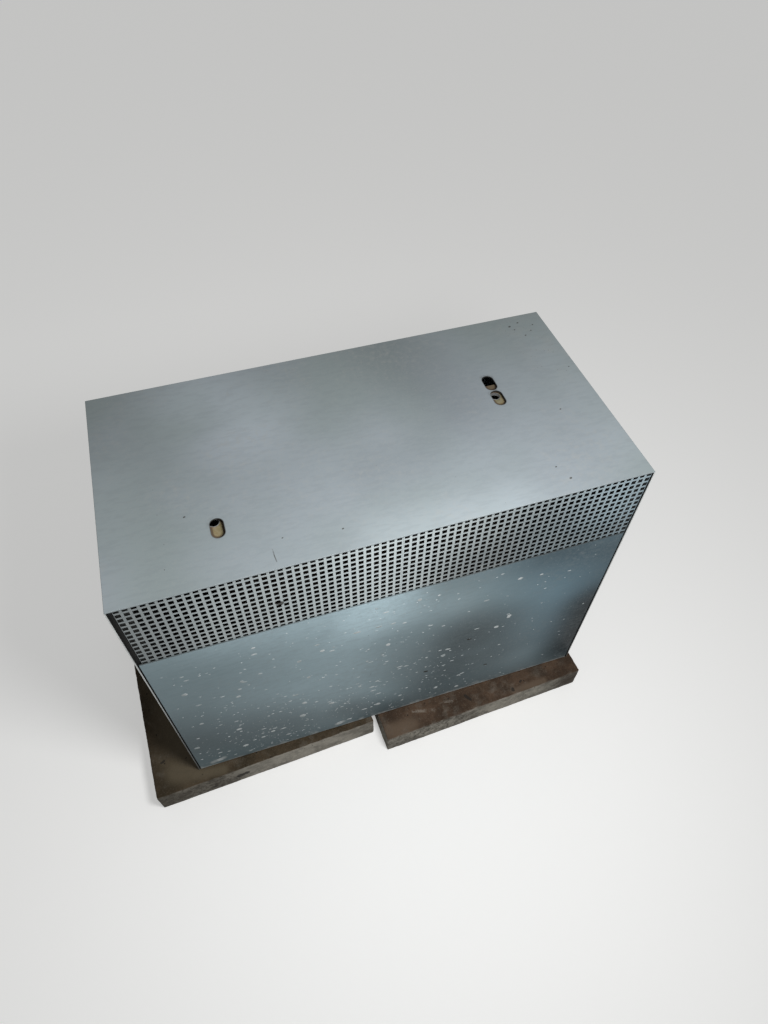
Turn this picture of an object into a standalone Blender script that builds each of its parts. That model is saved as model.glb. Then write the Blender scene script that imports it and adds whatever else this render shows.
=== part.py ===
"""Enclosed dry-type power transformer, standing on two concrete paving slabs.

Metres, +Z up. The origin lies on the ground under the middle of the enclosure, and the front faces -Y.
A steel cabinet with a perforated vent band along the top of its front and back holds a three-limb core
with its windings. Two lifting rails lie on the core's clamps, with their holes under the cover's slots.
"""
import math

import bmesh
import bpy
from mathutils import Matrix, Vector

# Clearance between pieces that touch
GAP = 0.0003

# Paving slabs under the enclosure: size and worn edge, the open joint between them at their front
# corners, and how far each lies forward of the enclosure's middle and is turned, in degrees
SLAB_SIDE = 0.500
SLAB_THICKNESS = 0.070
SLAB_WEAR = 0.007
SLAB_JOINT_X = -0.0415
SLAB_JOINT_GAP = 0.015
LEFT_SLAB_FORWARD = 0.004
LEFT_SLAB_TURN = 2.65
RIGHT_SLAB_FORWARD = 0.034
RIGHT_SLAB_TURN = 2.32

# Enclosure, outside, and its sheets
WIDTH = 0.900
DEPTH = 0.460
HEIGHT = 0.690
COVER_THICKNESS = 0.0025
COVER_EDGE = 0.0010
PANEL_THICKNESS = 0.0020
VENT_THICKNESS = 0.0010

# Front and back faces: solid panel below, vent sheet above, both behind the side panels' edges
FACE_RECESS = 0.0010
PANEL_SIDE_GAP = 0.0025
PANEL_FOOT_GAP = 0.0015
VENT_BAND = 0.1735
VENT_OVERLAP = 0.0250
VENT_OPEN_STRIP = 0.0078
VENT_SIDE_GAP = 0.0006

# Square perforations of the vent sheets: the lowest row is half hidden by the solid panel, and the
# highest lies just under the cover
HOLE_SIDE = 0.0084
HOLE_PITCH = 0.01272
HOLE_MARGIN = 0.0006
HOLE_ROW_RISE = 0.0003

# Frame of the enclosure
BASE_RAIL_HEIGHT = 0.040
BASE_RAIL_DEPTH = 0.030
BASE_RAIL_WALL = 0.003
POST_LEG = 0.030
POST_WALL = 0.0025
CROSS_RAIL_HEIGHT = 0.022

# Slots of the cover: one at the front left, a pair at the back right
SLOT_LENGTH = 0.039
SLOT_WIDTH = 0.022
SLOT_X = 0.270
FRONT_SLOT_Y = -0.127
PAIR_FRONT_Y = 0.015
PAIR_PITCH = 0.0415

# Lifting rails under the slots. Each has one hole, a little behind its slot's middle and further out.
# Their back ends lie just behind the middle of the rearmost slot
RAIL_DROP = 0.008
RAIL_WIDTH = 0.041
RAIL_HEIGHT = 0.025
RAIL_WALL = 0.0025
RAIL_FRONT_OVERHANG = 0.090
RAIL_END_BACKWARD = 0.0041
RAIL_HOLE_LENGTH = 0.0202
RAIL_HOLE_WIDTH = 0.0196
LEFT_HOLE_BACKWARD = 0.0217
LEFT_HOLE_OUTWARD = 0.0040
RIGHT_HOLE_BACKWARD = 0.0155
RIGHT_HOLE_OUTWARD = 0.0020

# Core and windings
CORE_Y = -0.046
STACK = 0.120
LIMB_WIDTH = 0.085
LIMB_PITCH = 0.200
YOKE_HEIGHT = 0.085
CLAMP_HEIGHT = 0.060
CLAMP_THICKNESS = 0.006
CLAMP_LENGTH = 0.600
CLAMP_RISE = 0.006
FOOT_HEIGHT = 0.030
FOOT_WIDTH = 0.050
FOOT_END_CLEARANCE = 0.010
COIL_WIDTH = 0.185
COIL_DEPTH = 0.200
COIL_END_CLEARANCE = 0.020
COIL_FIT = 0.0008
COIL_BORE_RADIUS = 0.002
COIL_CORNER = 0.045
BOARD_LENGTH = 0.500
BOARD_DEPTH = 0.100
BOARD_THICKNESS = 0.010

# Cable entry and earth stud on the back
GLAND_PLATE_X = -0.142
GLAND_PLATE_Z = 0.200
GLAND_PLATE_WIDTH = 0.130
GLAND_PLATE_HEIGHT = 0.080
GLAND_PLATE_THICKNESS = 0.003
GLAND_PITCH = 0.056
GLAND_RADIUS = 0.0165
GLAND_NECK_RADIUS = 0.0135
GLAND_COLLAR_LENGTH = 0.006
GLAND_NECK_LENGTH = 0.003
GLAND_CAP_LENGTH = 0.008
GLAND_NOSE_LENGTH = 0.003
EARTH_STUD_X = -0.250
EARTH_STUD_RADIUS = 0.004
EARTH_STUD_LENGTH = 0.020
EARTH_NUT_RADIUS = 0.008
EARTH_NUT_LENGTH = 0.007

# Facets
ARC_STEPS = 6
LATHE_SIDES = 16

# Levels and lines that several pieces share
SLAB_TOP = SLAB_THICKNESS
TOP = SLAB_TOP + HEIGHT
COVER_UNDERSIDE = TOP - COVER_THICKNESS
SIDE_INNER_X = WIDTH / 2 - PANEL_THICKNESS
FACE_Y = DEPTH / 2 - FACE_RECESS
PANEL_BACK_Y = FACE_Y - PANEL_THICKNESS
VENT_FACE_Y = PANEL_BACK_Y - GAP
VENT_BACK_Y = VENT_FACE_Y - VENT_THICKNESS
FRAME_FACE_Y = VENT_BACK_Y - GAP
PANEL_TOP = TOP - VENT_BAND
BASE_TOP = SLAB_TOP + GAP + BASE_RAIL_HEIGHT
RAIL_TOP = COVER_UNDERSIDE - RAIL_DROP
CLAMP_TOP = RAIL_TOP - RAIL_HEIGHT - GAP
FOOT_TOP = BASE_TOP + GAP + FOOT_HEIGHT
UPPER_YOKE_TOP = CLAMP_TOP - CLAMP_RISE
LOWER_YOKE_BOTTOM = FOOT_TOP + GAP


def clear_scene():
    for item in list(bpy.data.objects):
        bpy.data.objects.remove(item, do_unlink=True)


def make_material(name, colour, roughness, metallic):
    material = bpy.data.materials.new(name)
    material.use_nodes = True
    shader = material.node_tree.nodes["Principled BSDF"]
    shader.inputs["Base Color"].default_value = (*colour, 1.0)
    shader.inputs["Roughness"].default_value = roughness
    shader.inputs["Metallic"].default_value = metallic
    return material


def add_object(name, mesh_data, material, location=(0, 0, 0), turn=0.0):
    bmesh.ops.recalc_face_normals(mesh_data, faces=mesh_data.faces)
    mesh = bpy.data.meshes.new(name)
    mesh_data.to_mesh(mesh)
    mesh_data.free()
    mesh.materials.append(material)
    item = bpy.data.objects.new(name, mesh)
    item.location = location
    item.rotation_euler = (0, 0, math.radians(turn))
    bpy.context.scene.collection.objects.link(item)
    return item


def add_box(name, low, high, material):
    """A block between two corners, with its object at its middle."""
    low = Vector(low)
    high = Vector(high)
    mesh_data = bmesh.new()
    bmesh.ops.create_cube(mesh_data, size=1.0)
    size = high - low
    bmesh.ops.scale(mesh_data, vec=size, verts=mesh_data.verts)
    return add_object(name, mesh_data, material, (low + high) / 2)


def extrude_outline(points, vector):
    """A closed solid: the flat outline given as 3D points, drawn out along the vector."""
    mesh_data = bmesh.new()
    face = mesh_data.faces.new([mesh_data.verts.new(point) for point in points])
    result = bmesh.ops.extrude_face_region(mesh_data, geom=[face])
    moved = [part for part in result["geom"] if isinstance(part, bmesh.types.BMVert)]
    bmesh.ops.translate(mesh_data, vec=vector, verts=moved)
    return mesh_data


def rounded_rectangle(width, depth, radius):
    """Points of a rectangle about the origin, with ARC_STEPS steps round each corner."""
    points = []
    corners = ((1, 1, 0), (-1, 1, 90), (-1, -1, 180), (1, -1, 270))
    for side_x, side_y, start in corners:
        centre_x = side_x * (width / 2 - radius)
        centre_y = side_y * (depth / 2 - radius)
        for step in range(ARC_STEPS + 1):
            angle = math.radians(start + 90 * step / ARC_STEPS)
            points.append((centre_x + radius * math.cos(angle), centre_y + radius * math.sin(angle)))
    return points


def obround(length, width):
    """Points of a slot about the origin, long way along Y."""
    radius = width / 2
    reach = (length - width) / 2
    steps = 2 * ARC_STEPS
    points = []
    for middle, start in ((reach, 0), (-reach, 180)):
        for step in range(steps + 1):
            angle = math.radians(start + 180 * step / steps)
            points.append((radius * math.cos(angle), middle + radius * math.sin(angle)))
    return points


def add_slot_cutter(name, centre, length, width, low, high):
    """An obround prism that stands from low to high, for cutting a slot."""
    outline = [(centre[0] + x, centre[1] + y, low) for x, y in obround(length, width)]
    cutter = add_object(name, extrude_outline(outline, (0, 0, high - low)), steel_dark)
    cutter.hide_render = True
    cutter.display_type = "WIRE"
    return cutter


def cut(item, cutter):
    modifier = item.modifiers.new("cut_" + cutter.name, "BOOLEAN")
    modifier.operation = "DIFFERENCE"
    modifier.object = cutter


def add_lathe(name, centre, profile, material):
    """A turned piece whose axis runs along +Y from the centre; profile is (radius, distance) pairs."""
    mesh_data = bmesh.new()
    rings = []
    for radius, distance in profile:
        ring = []
        for step in range(LATHE_SIDES):
            angle = 2 * math.pi * step / LATHE_SIDES
            place = (radius * math.cos(angle), distance, radius * math.sin(angle))
            ring.append(mesh_data.verts.new(place))
        rings.append(ring)
    for lower, upper in zip(rings, rings[1:]):
        for step in range(LATHE_SIDES):
            after = (step + 1) % LATHE_SIDES
            mesh_data.faces.new((lower[step], lower[after], upper[after], upper[step]))
    mesh_data.faces.new(rings[0])
    mesh_data.faces.new(rings[-1])
    return add_object(name, mesh_data, material, centre)


def make_paving():
    slabs = (
        ("paving_slab_left", -1, LEFT_SLAB_FORWARD, LEFT_SLAB_TURN),
        ("paving_slab_right", 1, RIGHT_SLAB_FORWARD, RIGHT_SLAB_TURN),
    )
    for name, side, forward, turn in slabs:
        turned = Matrix.Rotation(math.radians(turn), 2)
        joint_corner = turned @ Vector((-side * SLAB_SIDE / 2, -SLAB_SIDE / 2))
        x = SLAB_JOINT_X + side * SLAB_JOINT_GAP / 2 - joint_corner.x
        place = (x, -forward, SLAB_THICKNESS / 2)
        mesh_data = bmesh.new()
        bmesh.ops.create_cube(mesh_data, size=1.0)
        bmesh.ops.scale(mesh_data, vec=(SLAB_SIDE, SLAB_SIDE, SLAB_THICKNESS), verts=mesh_data.verts)
        slab = add_object(name, mesh_data, concrete, place, turn)
        wear = slab.modifiers.new("worn_edges", "BEVEL")
        wear.width = SLAB_WEAR
        wear.segments = 2
        wear.limit_method = "ANGLE"


def channel_outline(depth, height, wall):
    """A C section in its own plane: across from 0 to depth, up from 0 to height, open at the far side."""
    return [
        (0, 0),
        (depth, 0),
        (depth, wall),
        (wall, wall),
        (wall, height - wall),
        (depth, height - wall),
        (depth, height),
        (0, height),
    ]


def make_base_frame():
    section = channel_outline(BASE_RAIL_DEPTH, BASE_RAIL_HEIGHT, BASE_RAIL_WALL)
    low = SLAB_TOP + GAP
    reach = SIDE_INNER_X - GAP
    for name, side in (("base_rail_front", -1), ("base_rail_back", 1)):
        outline = [(-reach, side * (PANEL_BACK_Y - GAP - across), low + up) for across, up in section]
        add_object(name, extrude_outline(outline, (2 * reach, 0, 0)), steel_dark)
    inner_y = PANEL_BACK_Y - BASE_RAIL_DEPTH - 2 * GAP
    for name, side in (("base_rail_left", -1), ("base_rail_right", 1)):
        outline = [(side * (reach - across), -inner_y, low + up) for across, up in section]
        add_object(name, extrude_outline(outline, (0, 2 * inner_y, 0)), steel_dark)


def make_posts():
    reach = SIDE_INNER_X - GAP
    low = BASE_TOP + GAP
    height = COVER_UNDERSIDE - GAP - low
    section = [(0, 0), (POST_LEG, 0), (POST_LEG, POST_WALL), (POST_WALL, POST_WALL), (POST_WALL, POST_LEG)]
    section.append((0, POST_LEG))
    for depth_name, side_y in (("front", -1), ("back", 1)):
        for side_name, side_x in (("left", -1), ("right", 1)):
            outline = []
            for across, inward in section:
                outline.append((side_x * (reach - across), side_y * (FRAME_FACE_Y - inward), low))
            name = "corner_post_" + depth_name + "_" + side_name
            add_object(name, extrude_outline(outline, (0, 0, height)), steel_dark)


def make_cross_rails():
    """Flat rails between the posts, behind the joint of vent sheet and solid panel."""
    reach = SIDE_INNER_X - POST_WALL - 2 * GAP
    high = PANEL_TOP + GAP
    low = high - CROSS_RAIL_HEIGHT
    near = FRAME_FACE_Y - POST_WALL - GAP
    far = near - POST_WALL
    add_box("cross_rail_front", (-reach, -near, low), (reach, -far, high), steel_dark)
    add_box("cross_rail_back", (-reach, far, low), (reach, near, high), steel_dark)


def make_cover():
    cover = add_box(
        "top_cover",
        (-WIDTH / 2, -DEPTH / 2, COVER_UNDERSIDE),
        (WIDTH / 2, DEPTH / 2, TOP),
        grey_paint,
    )
    soft = cover.modifiers.new("soft_edges", "BEVEL")
    soft.width = COVER_EDGE
    soft.segments = 2
    soft.limit_method = "ANGLE"
    for index, (x, y) in enumerate(slot_places()):
        past = COVER_THICKNESS
        name = "slot_cutter_" + str(index + 1)
        cut(cover, add_slot_cutter(name, (x, y), SLOT_LENGTH, SLOT_WIDTH, COVER_UNDERSIDE - past, TOP + past))


def slot_places():
    """Centres of the cover's slots, seen from above."""
    return [(-SLOT_X, FRONT_SLOT_Y), (SLOT_X, PAIR_FRONT_Y), (SLOT_X, PAIR_FRONT_Y + PAIR_PITCH)]


def make_side_panels():
    low = SLAB_TOP + PANEL_FOOT_GAP
    high = COVER_UNDERSIDE - GAP
    for name, side in (("left_side_panel", -1), ("right_side_panel", 1)):
        near = min(side * SIDE_INNER_X, side * WIDTH / 2)
        far = max(side * SIDE_INNER_X, side * WIDTH / 2)
        add_box(name, (near, -DEPTH / 2, low), (far, DEPTH / 2, high), grey_paint)


def make_face_panels():
    reach = SIDE_INNER_X - PANEL_SIDE_GAP
    low = SLAB_TOP + PANEL_FOOT_GAP
    add_box("front_panel", (-reach, -FACE_Y, low), (reach, -PANEL_BACK_Y, PANEL_TOP), grey_paint)
    add_box("back_panel", (-reach, PANEL_BACK_Y, low), (reach, FACE_Y, PANEL_TOP), grey_paint)


def hole_lines(first_centre, count, low, high):
    """Grid lines across a perforated sheet from low to high. Every second stretch is a row of holes."""
    lines = [low]
    for index in range(count):
        centre = first_centre + index * HOLE_PITCH
        lines.append(centre - HOLE_SIDE / 2)
        lines.append(min(centre + HOLE_SIDE / 2, high))
    if high - lines[-1] > GAP:
        lines.append(high)
    return lines


def add_perforated_sheet(name, lines_x, lines_z, face_y):
    """A sheet with its outer face at face_y, drawn out towards +Y, with a hole at each second crossing."""
    mesh_data = bmesh.new()
    grid = [[mesh_data.verts.new((x, face_y, z)) for z in lines_z] for x in lines_x]
    sheet = []
    for column in range(len(lines_x) - 1):
        for row in range(len(lines_z) - 1):
            if column % 2 == 0 or row % 2 == 0:
                near, far = grid[column], grid[column + 1]
                sheet.append(mesh_data.faces.new((near[row], far[row], far[row + 1], near[row + 1])))
    result = bmesh.ops.extrude_face_region(mesh_data, geom=sheet)
    moved = [part for part in result["geom"] if isinstance(part, bmesh.types.BMVert)]
    bmesh.ops.translate(mesh_data, vec=(0, VENT_THICKNESS, 0), verts=moved)
    return add_object(name, mesh_data, grey_paint)


def make_vent_sheets():
    """Sheets of the vent bands. The open strip beside each lies at its left, seen from outside.

    The front one is perforated and made in two halves. The back one, which isn't seen, is plain.
    """
    open_x = SIDE_INNER_X - VENT_OPEN_STRIP
    close_x = SIDE_INNER_X - VENT_SIDE_GAP
    low = PANEL_TOP - VENT_OVERLAP
    high = COVER_UNDERSIDE - GAP
    add_box("back_vent_sheet", (-close_x, VENT_BACK_Y, low), (open_x, VENT_FACE_Y, high), grey_paint)
    first_x = -open_x + HOLE_MARGIN + HOLE_SIDE / 2
    columns = 1 + math.floor((close_x - HOLE_MARGIN - HOLE_SIDE / 2 - first_x) / HOLE_PITCH)
    first_z = PANEL_TOP + HOLE_ROW_RISE
    rows = 1 + math.floor((high - first_z + HOLE_SIDE / 2) / HOLE_PITCH)
    lines_z = hole_lines(first_z, rows, low, high)
    left_columns = columns // 2
    joint_x = first_x + (left_columns - 0.5) * HOLE_PITCH
    left_lines = hole_lines(first_x, left_columns, -open_x, joint_x - GAP / 2)
    right_start = first_x + left_columns * HOLE_PITCH
    right_lines = hole_lines(right_start, columns - left_columns, joint_x + GAP / 2, close_x)
    add_perforated_sheet("front_vent_sheet_left", left_lines, lines_z, -VENT_FACE_Y)
    add_perforated_sheet("front_vent_sheet_right", right_lines, lines_z, -VENT_FACE_Y)


def make_core():
    near = CORE_Y - STACK / 2
    far = CORE_Y + STACK / 2
    half = LIMB_PITCH + LIMB_WIDTH / 2
    upper = UPPER_YOKE_TOP - YOKE_HEIGHT
    lower = LOWER_YOKE_BOTTOM + YOKE_HEIGHT
    add_box("core_yoke_top", (-half, near, upper), (half, far, UPPER_YOKE_TOP), core_steel)
    add_box("core_yoke_bottom", (-half, near, LOWER_YOKE_BOTTOM), (half, far, lower), core_steel)
    for name, x in (("left", -LIMB_PITCH), ("middle", 0.0), ("right", LIMB_PITCH)):
        low = (x - LIMB_WIDTH / 2, near, lower + GAP)
        high = (x + LIMB_WIDTH / 2, far, upper - GAP)
        add_box("core_limb_" + name, low, high, core_steel)
        add_coil("coil_" + name, x, lower + COIL_END_CLEARANCE, upper - COIL_END_CLEARANCE)


def add_coil(name, x, low, high):
    """A winding: a ring of rounded rectangular plan round a limb."""
    outer = rounded_rectangle(COIL_WIDTH, COIL_DEPTH, COIL_CORNER)
    inner = rounded_rectangle(LIMB_WIDTH + 2 * COIL_FIT, STACK + 2 * COIL_FIT, COIL_BORE_RADIUS)
    mesh_data = bmesh.new()
    loops = []
    for outline, level in ((outer, low), (outer, high), (inner, high), (inner, low)):
        loops.append([mesh_data.verts.new((px, py, level)) for px, py in outline])
    count = len(outer)
    for loop, following in zip(loops, loops[1:] + loops[:1]):
        for step in range(count):
            after = (step + 1) % count
            mesh_data.faces.new((loop[step], loop[after], following[after], following[step]))
    add_object(name, mesh_data, winding, (x, CORE_Y, 0))


def make_clamps():
    half = CLAMP_LENGTH / 2
    levels = (("top", CLAMP_TOP - CLAMP_HEIGHT), ("bottom", FOOT_TOP + GAP))
    for level_name, low in levels:
        for side_name, side in (("front", -1), ("back", 1)):
            face = CORE_Y + side * (STACK / 2 + GAP)
            outer = face + side * CLAMP_THICKNESS
            name = "clamp_" + level_name + "_" + side_name
            corner = (-half, min(face, outer), low)
            add_box(name, corner, (half, max(face, outer), low + CLAMP_HEIGHT), passivated)


def make_lifting_rails():
    """Channels, open downwards, on top of the clamps, each with a hole under a slot of the cover."""
    section = channel_outline(RAIL_HEIGHT, RAIL_WIDTH, RAIL_WALL)
    near = CORE_Y - STACK / 2 - RAIL_FRONT_OVERHANG
    front_left, pair_front, pair_back = slot_places()
    length = pair_back[1] + RAIL_END_BACKWARD - near
    rails = (
        ("lifting_rail_left", -1, front_left, LEFT_HOLE_OUTWARD, LEFT_HOLE_BACKWARD),
        ("lifting_rail_right", 1, pair_front, RIGHT_HOLE_OUTWARD, RIGHT_HOLE_BACKWARD),
    )
    for name, side, slot, outward, backward in rails:
        outline = []
        for down, across in section:
            outline.append((side * SLOT_X + across - RAIL_WIDTH / 2, near, RAIL_TOP - down))
        rail = add_object(name, extrude_outline(outline, (0, length, 0)), passivated)
        place = (slot[0] + side * outward, slot[1] + backward)
        low = RAIL_TOP - 2 * RAIL_WALL
        high = RAIL_TOP + RAIL_WALL
        cut(rail, add_slot_cutter(name + "_cutter", place, RAIL_HOLE_LENGTH, RAIL_HOLE_WIDTH, low, high))


def make_feet():
    """Bars from the front base rail to the back one, which carry the core and its lower clamps."""
    reach = PANEL_BACK_Y - FOOT_END_CLEARANCE
    for name, x in (("core_foot_left", -LIMB_PITCH), ("core_foot_right", LIMB_PITCH)):
        low = (x - FOOT_WIDTH / 2, -reach, BASE_TOP + GAP)
        add_box(name, low, (x + FOOT_WIDTH / 2, reach, FOOT_TOP), steel_dark)


def make_terminal_board():
    near = CORE_Y + STACK / 2 + CLAMP_THICKNESS + 2 * GAP
    low = CLAMP_TOP - CLAMP_HEIGHT / 2 - BOARD_THICKNESS / 2
    corner = (-BOARD_LENGTH / 2, near, low)
    add_box("terminal_board", corner, (BOARD_LENGTH / 2, near + BOARD_DEPTH, low + BOARD_THICKNESS), board)


def make_cable_entry():
    low_z = GLAND_PLATE_Z - GLAND_PLATE_HEIGHT / 2
    near = FACE_Y + GAP
    face = near + GLAND_PLATE_THICKNESS
    low = (GLAND_PLATE_X - GLAND_PLATE_WIDTH / 2, near, low_z)
    high = (GLAND_PLATE_X + GLAND_PLATE_WIDTH / 2, face, low_z + GLAND_PLATE_HEIGHT)
    add_box("gland_plate", low, high, grey_paint)
    cap_start = GLAND_COLLAR_LENGTH + GLAND_NECK_LENGTH
    cap_end = cap_start + GLAND_CAP_LENGTH
    profile = [
        (GLAND_RADIUS, 0),
        (GLAND_RADIUS, GLAND_COLLAR_LENGTH),
        (GLAND_NECK_RADIUS, GLAND_COLLAR_LENGTH),
        (GLAND_NECK_RADIUS, cap_start),
        (GLAND_RADIUS, cap_start),
        (GLAND_RADIUS, cap_end),
        (GLAND_NECK_RADIUS, cap_end + GLAND_NOSE_LENGTH),
    ]
    for name, side in (("cable_gland_left", -1), ("cable_gland_right", 1)):
        place = (GLAND_PLATE_X + side * GLAND_PITCH / 2, face + GAP, GLAND_PLATE_Z)
        add_lathe(name, place, profile, dark_plastic)
    stud = [
        (EARTH_NUT_RADIUS, 0),
        (EARTH_NUT_RADIUS, EARTH_NUT_LENGTH),
        (EARTH_STUD_RADIUS, EARTH_NUT_LENGTH),
        (EARTH_STUD_RADIUS, EARTH_STUD_LENGTH),
    ]
    add_lathe("earth_stud", (EARTH_STUD_X, near, GLAND_PLATE_Z), stud, brass)


clear_scene()
grey_paint = make_material("grey_paint", (0.30, 0.34, 0.36), 0.45, 0.0)
steel_dark = make_material("frame_steel", (0.10, 0.11, 0.12), 0.6, 0.3)
passivated = make_material("passivated_steel", (0.45, 0.38, 0.20), 0.45, 0.7)
core_steel = make_material("core_steel", (0.12, 0.12, 0.12), 0.55, 0.6)
winding = make_material("winding_resin", (0.16, 0.07, 0.03), 0.5, 0.0)
concrete = make_material("concrete", (0.16, 0.14, 0.12), 0.9, 0.0)
board = make_material("board", (0.25, 0.16, 0.08), 0.6, 0.0)
dark_plastic = make_material("dark_plastic", (0.05, 0.05, 0.055), 0.5, 0.0)
brass = make_material("brass", (0.60, 0.42, 0.16), 0.35, 1.0)
make_paving()
make_base_frame()
make_posts()
make_cross_rails()
make_cover()
make_side_panels()
make_face_panels()
make_vent_sheets()
make_core()
make_clamps()
make_lifting_rails()
make_feet()
make_terminal_board()
make_cable_entry()
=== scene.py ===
"""Looks of an enclosed dry-type power transformer that stands on two concrete paving slabs.

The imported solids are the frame: metres, +Z up, the front faces -Y. Each sub-assembly is a class that
gives its solids their finishes, models what they leave out, and hands each new piece to its body.
"""
import logging
import math
import random
from collections.abc import Callable, Iterable, Iterator
from contextlib import contextmanager
from dataclasses import dataclass
from enum import Enum
from typing import Protocol

import bmesh
import bpy
from mathutils import Matrix, Vector


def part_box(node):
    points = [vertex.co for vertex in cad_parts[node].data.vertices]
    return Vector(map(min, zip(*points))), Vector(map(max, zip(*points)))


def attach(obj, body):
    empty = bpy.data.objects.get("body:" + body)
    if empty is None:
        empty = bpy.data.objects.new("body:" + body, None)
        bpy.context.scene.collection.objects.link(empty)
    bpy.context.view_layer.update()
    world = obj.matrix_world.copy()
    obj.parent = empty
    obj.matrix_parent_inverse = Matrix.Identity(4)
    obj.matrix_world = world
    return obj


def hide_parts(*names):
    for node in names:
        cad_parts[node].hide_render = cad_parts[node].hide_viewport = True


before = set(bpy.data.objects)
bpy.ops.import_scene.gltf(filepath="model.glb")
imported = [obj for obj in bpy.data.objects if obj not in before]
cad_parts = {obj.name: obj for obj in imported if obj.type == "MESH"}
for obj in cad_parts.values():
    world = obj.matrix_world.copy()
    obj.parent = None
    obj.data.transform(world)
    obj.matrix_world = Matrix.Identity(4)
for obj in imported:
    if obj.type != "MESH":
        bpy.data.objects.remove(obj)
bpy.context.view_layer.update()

LOG = logging.getLogger("transformer")

Colour = tuple[float, float, float]
Point = tuple[float, float, float]
Flat = tuple[float, float]
Stroke = tuple[Flat, Flat]
Mark = tuple[Flat, Flat, float]
Patch = tuple[Flat, Flat, float, float]
Test = Callable[[Vector, Vector], bool]

MM = 0.001
HALF_WIDTH = 0.450
HALF_DEPTH = 0.230


class Plane(Enum):
    """The flat coordinates in which marks lie on a sheet."""

    TOP = ("X", "Y")
    FACE = ("X", "Z")
    SIDE = ("Y", "Z")


class Pick(Enum):
    """What a selection in edit mode picks."""

    POINTS = "VERT"
    EDGES = "EDGE"
    FACES = "FACE"


class Primitive(Enum):
    """The shapes that a piece can start from."""

    CUBE = "primitive_cube_add"
    PLANE = "primitive_plane_add"
    CIRCLE = "primitive_circle_add"
    CYLINDER = "primitive_cylinder_add"


def arithmetic(operation: str, turned: bool = False) -> Callable[["Value", "Value | float"], "Value"]:
    """Makes a method of Value that adds one Math node.

    Args:
        operation: the node's operation.
        turned: whether the two operands change places.

    Returns:
        The method.
    """
    def method(self: "Value", other: "Value | float" = 0.0) -> "Value":
        """One Math node on this value and another."""
        first, second = (other, self) if turned else (self, other)
        return self.graph.node("ShaderNodeMath", {"operation": operation}, {0: first, 1: second})

    return method


class Value:
    """A socket whose numbers or colours vary over a surface. Arithmetic on numbers adds Math nodes."""

    __add__ = __radd__ = arithmetic("ADD")
    __sub__ = arithmetic("SUBTRACT")
    __rsub__ = arithmetic("SUBTRACT", turned=True)
    __mul__ = __rmul__ = arithmetic("MULTIPLY")
    __truediv__ = arithmetic("DIVIDE")
    least = arithmetic("MINIMUM")
    most = arithmetic("MAXIMUM")
    size = arithmetic("ABSOLUTE")

    def __init__(self, graph: "Tree", socket: bpy.types.NodeSocket) -> None:
        """Wraps one output socket of a node in the graph."""
        self.graph = graph
        self.socket = socket

    def other(self, output: str) -> "Value":
        """Another output of the same node."""
        return Value(self.graph, self.socket.node.outputs[output])

    def ramp(self, low: float, high: float) -> "Value":
        """Climbs smoothly from 0 at low to 1 at high, and is held at 0 and 1 outside."""
        ends = {"Value": self, "From Min": low, "From Max": high}
        return self.graph.node("ShaderNodeMapRange", {"interpolation_type": "SMOOTHSTEP"}, ends)

    def above(self, limit: float, soft: float) -> "Value":
        """1 above the limit and 0 before it, over an edge of the soft width."""
        return self.ramp(limit - soft / 2, limit + soft / 2)

    def below(self, limit: float, soft: float) -> "Value":
        """1 below the limit and 0 past it, over an edge of the soft width."""
        return 1 - self.above(limit, soft)


class Tree:
    """The node tree of a material or of the world, with the one method that adds its nodes."""

    def __init__(self, owner: bpy.types.Material | bpy.types.World) -> None:
        """Switches the owner to nodes."""
        owner.use_nodes = True
        self.tree = owner.node_tree

    def node(
        self, kind: str, settings: dict[str, object] | None = None,
        inputs: dict[str | int, object] | None = None, output: str | int = 0,
    ) -> Value:
        """Adds one node.

        Args:
            kind: the node's type.
            settings: its settings, set before its sockets.
            inputs: values or links of its sockets.
            output: the output to give back.

        Returns:
            That output.
        """
        made = self.tree.nodes.new(kind)
        for name, setting in (settings or {}).items():
            setattr(made, name, setting)
        self.feed(made, inputs or {})
        return Value(self, made.outputs[output])

    def feed(self, node: bpy.types.Node, inputs: dict[str | int, object]) -> None:
        """Sets sockets of a node.

        Args:
            node: the node.
            inputs: values or links of its sockets.
        """
        for name, given in inputs.items():
            if isinstance(given, Value):
                self.tree.links.new(given.socket, node.inputs[name])
            else:
                node.inputs[name].default_value = given


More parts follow.
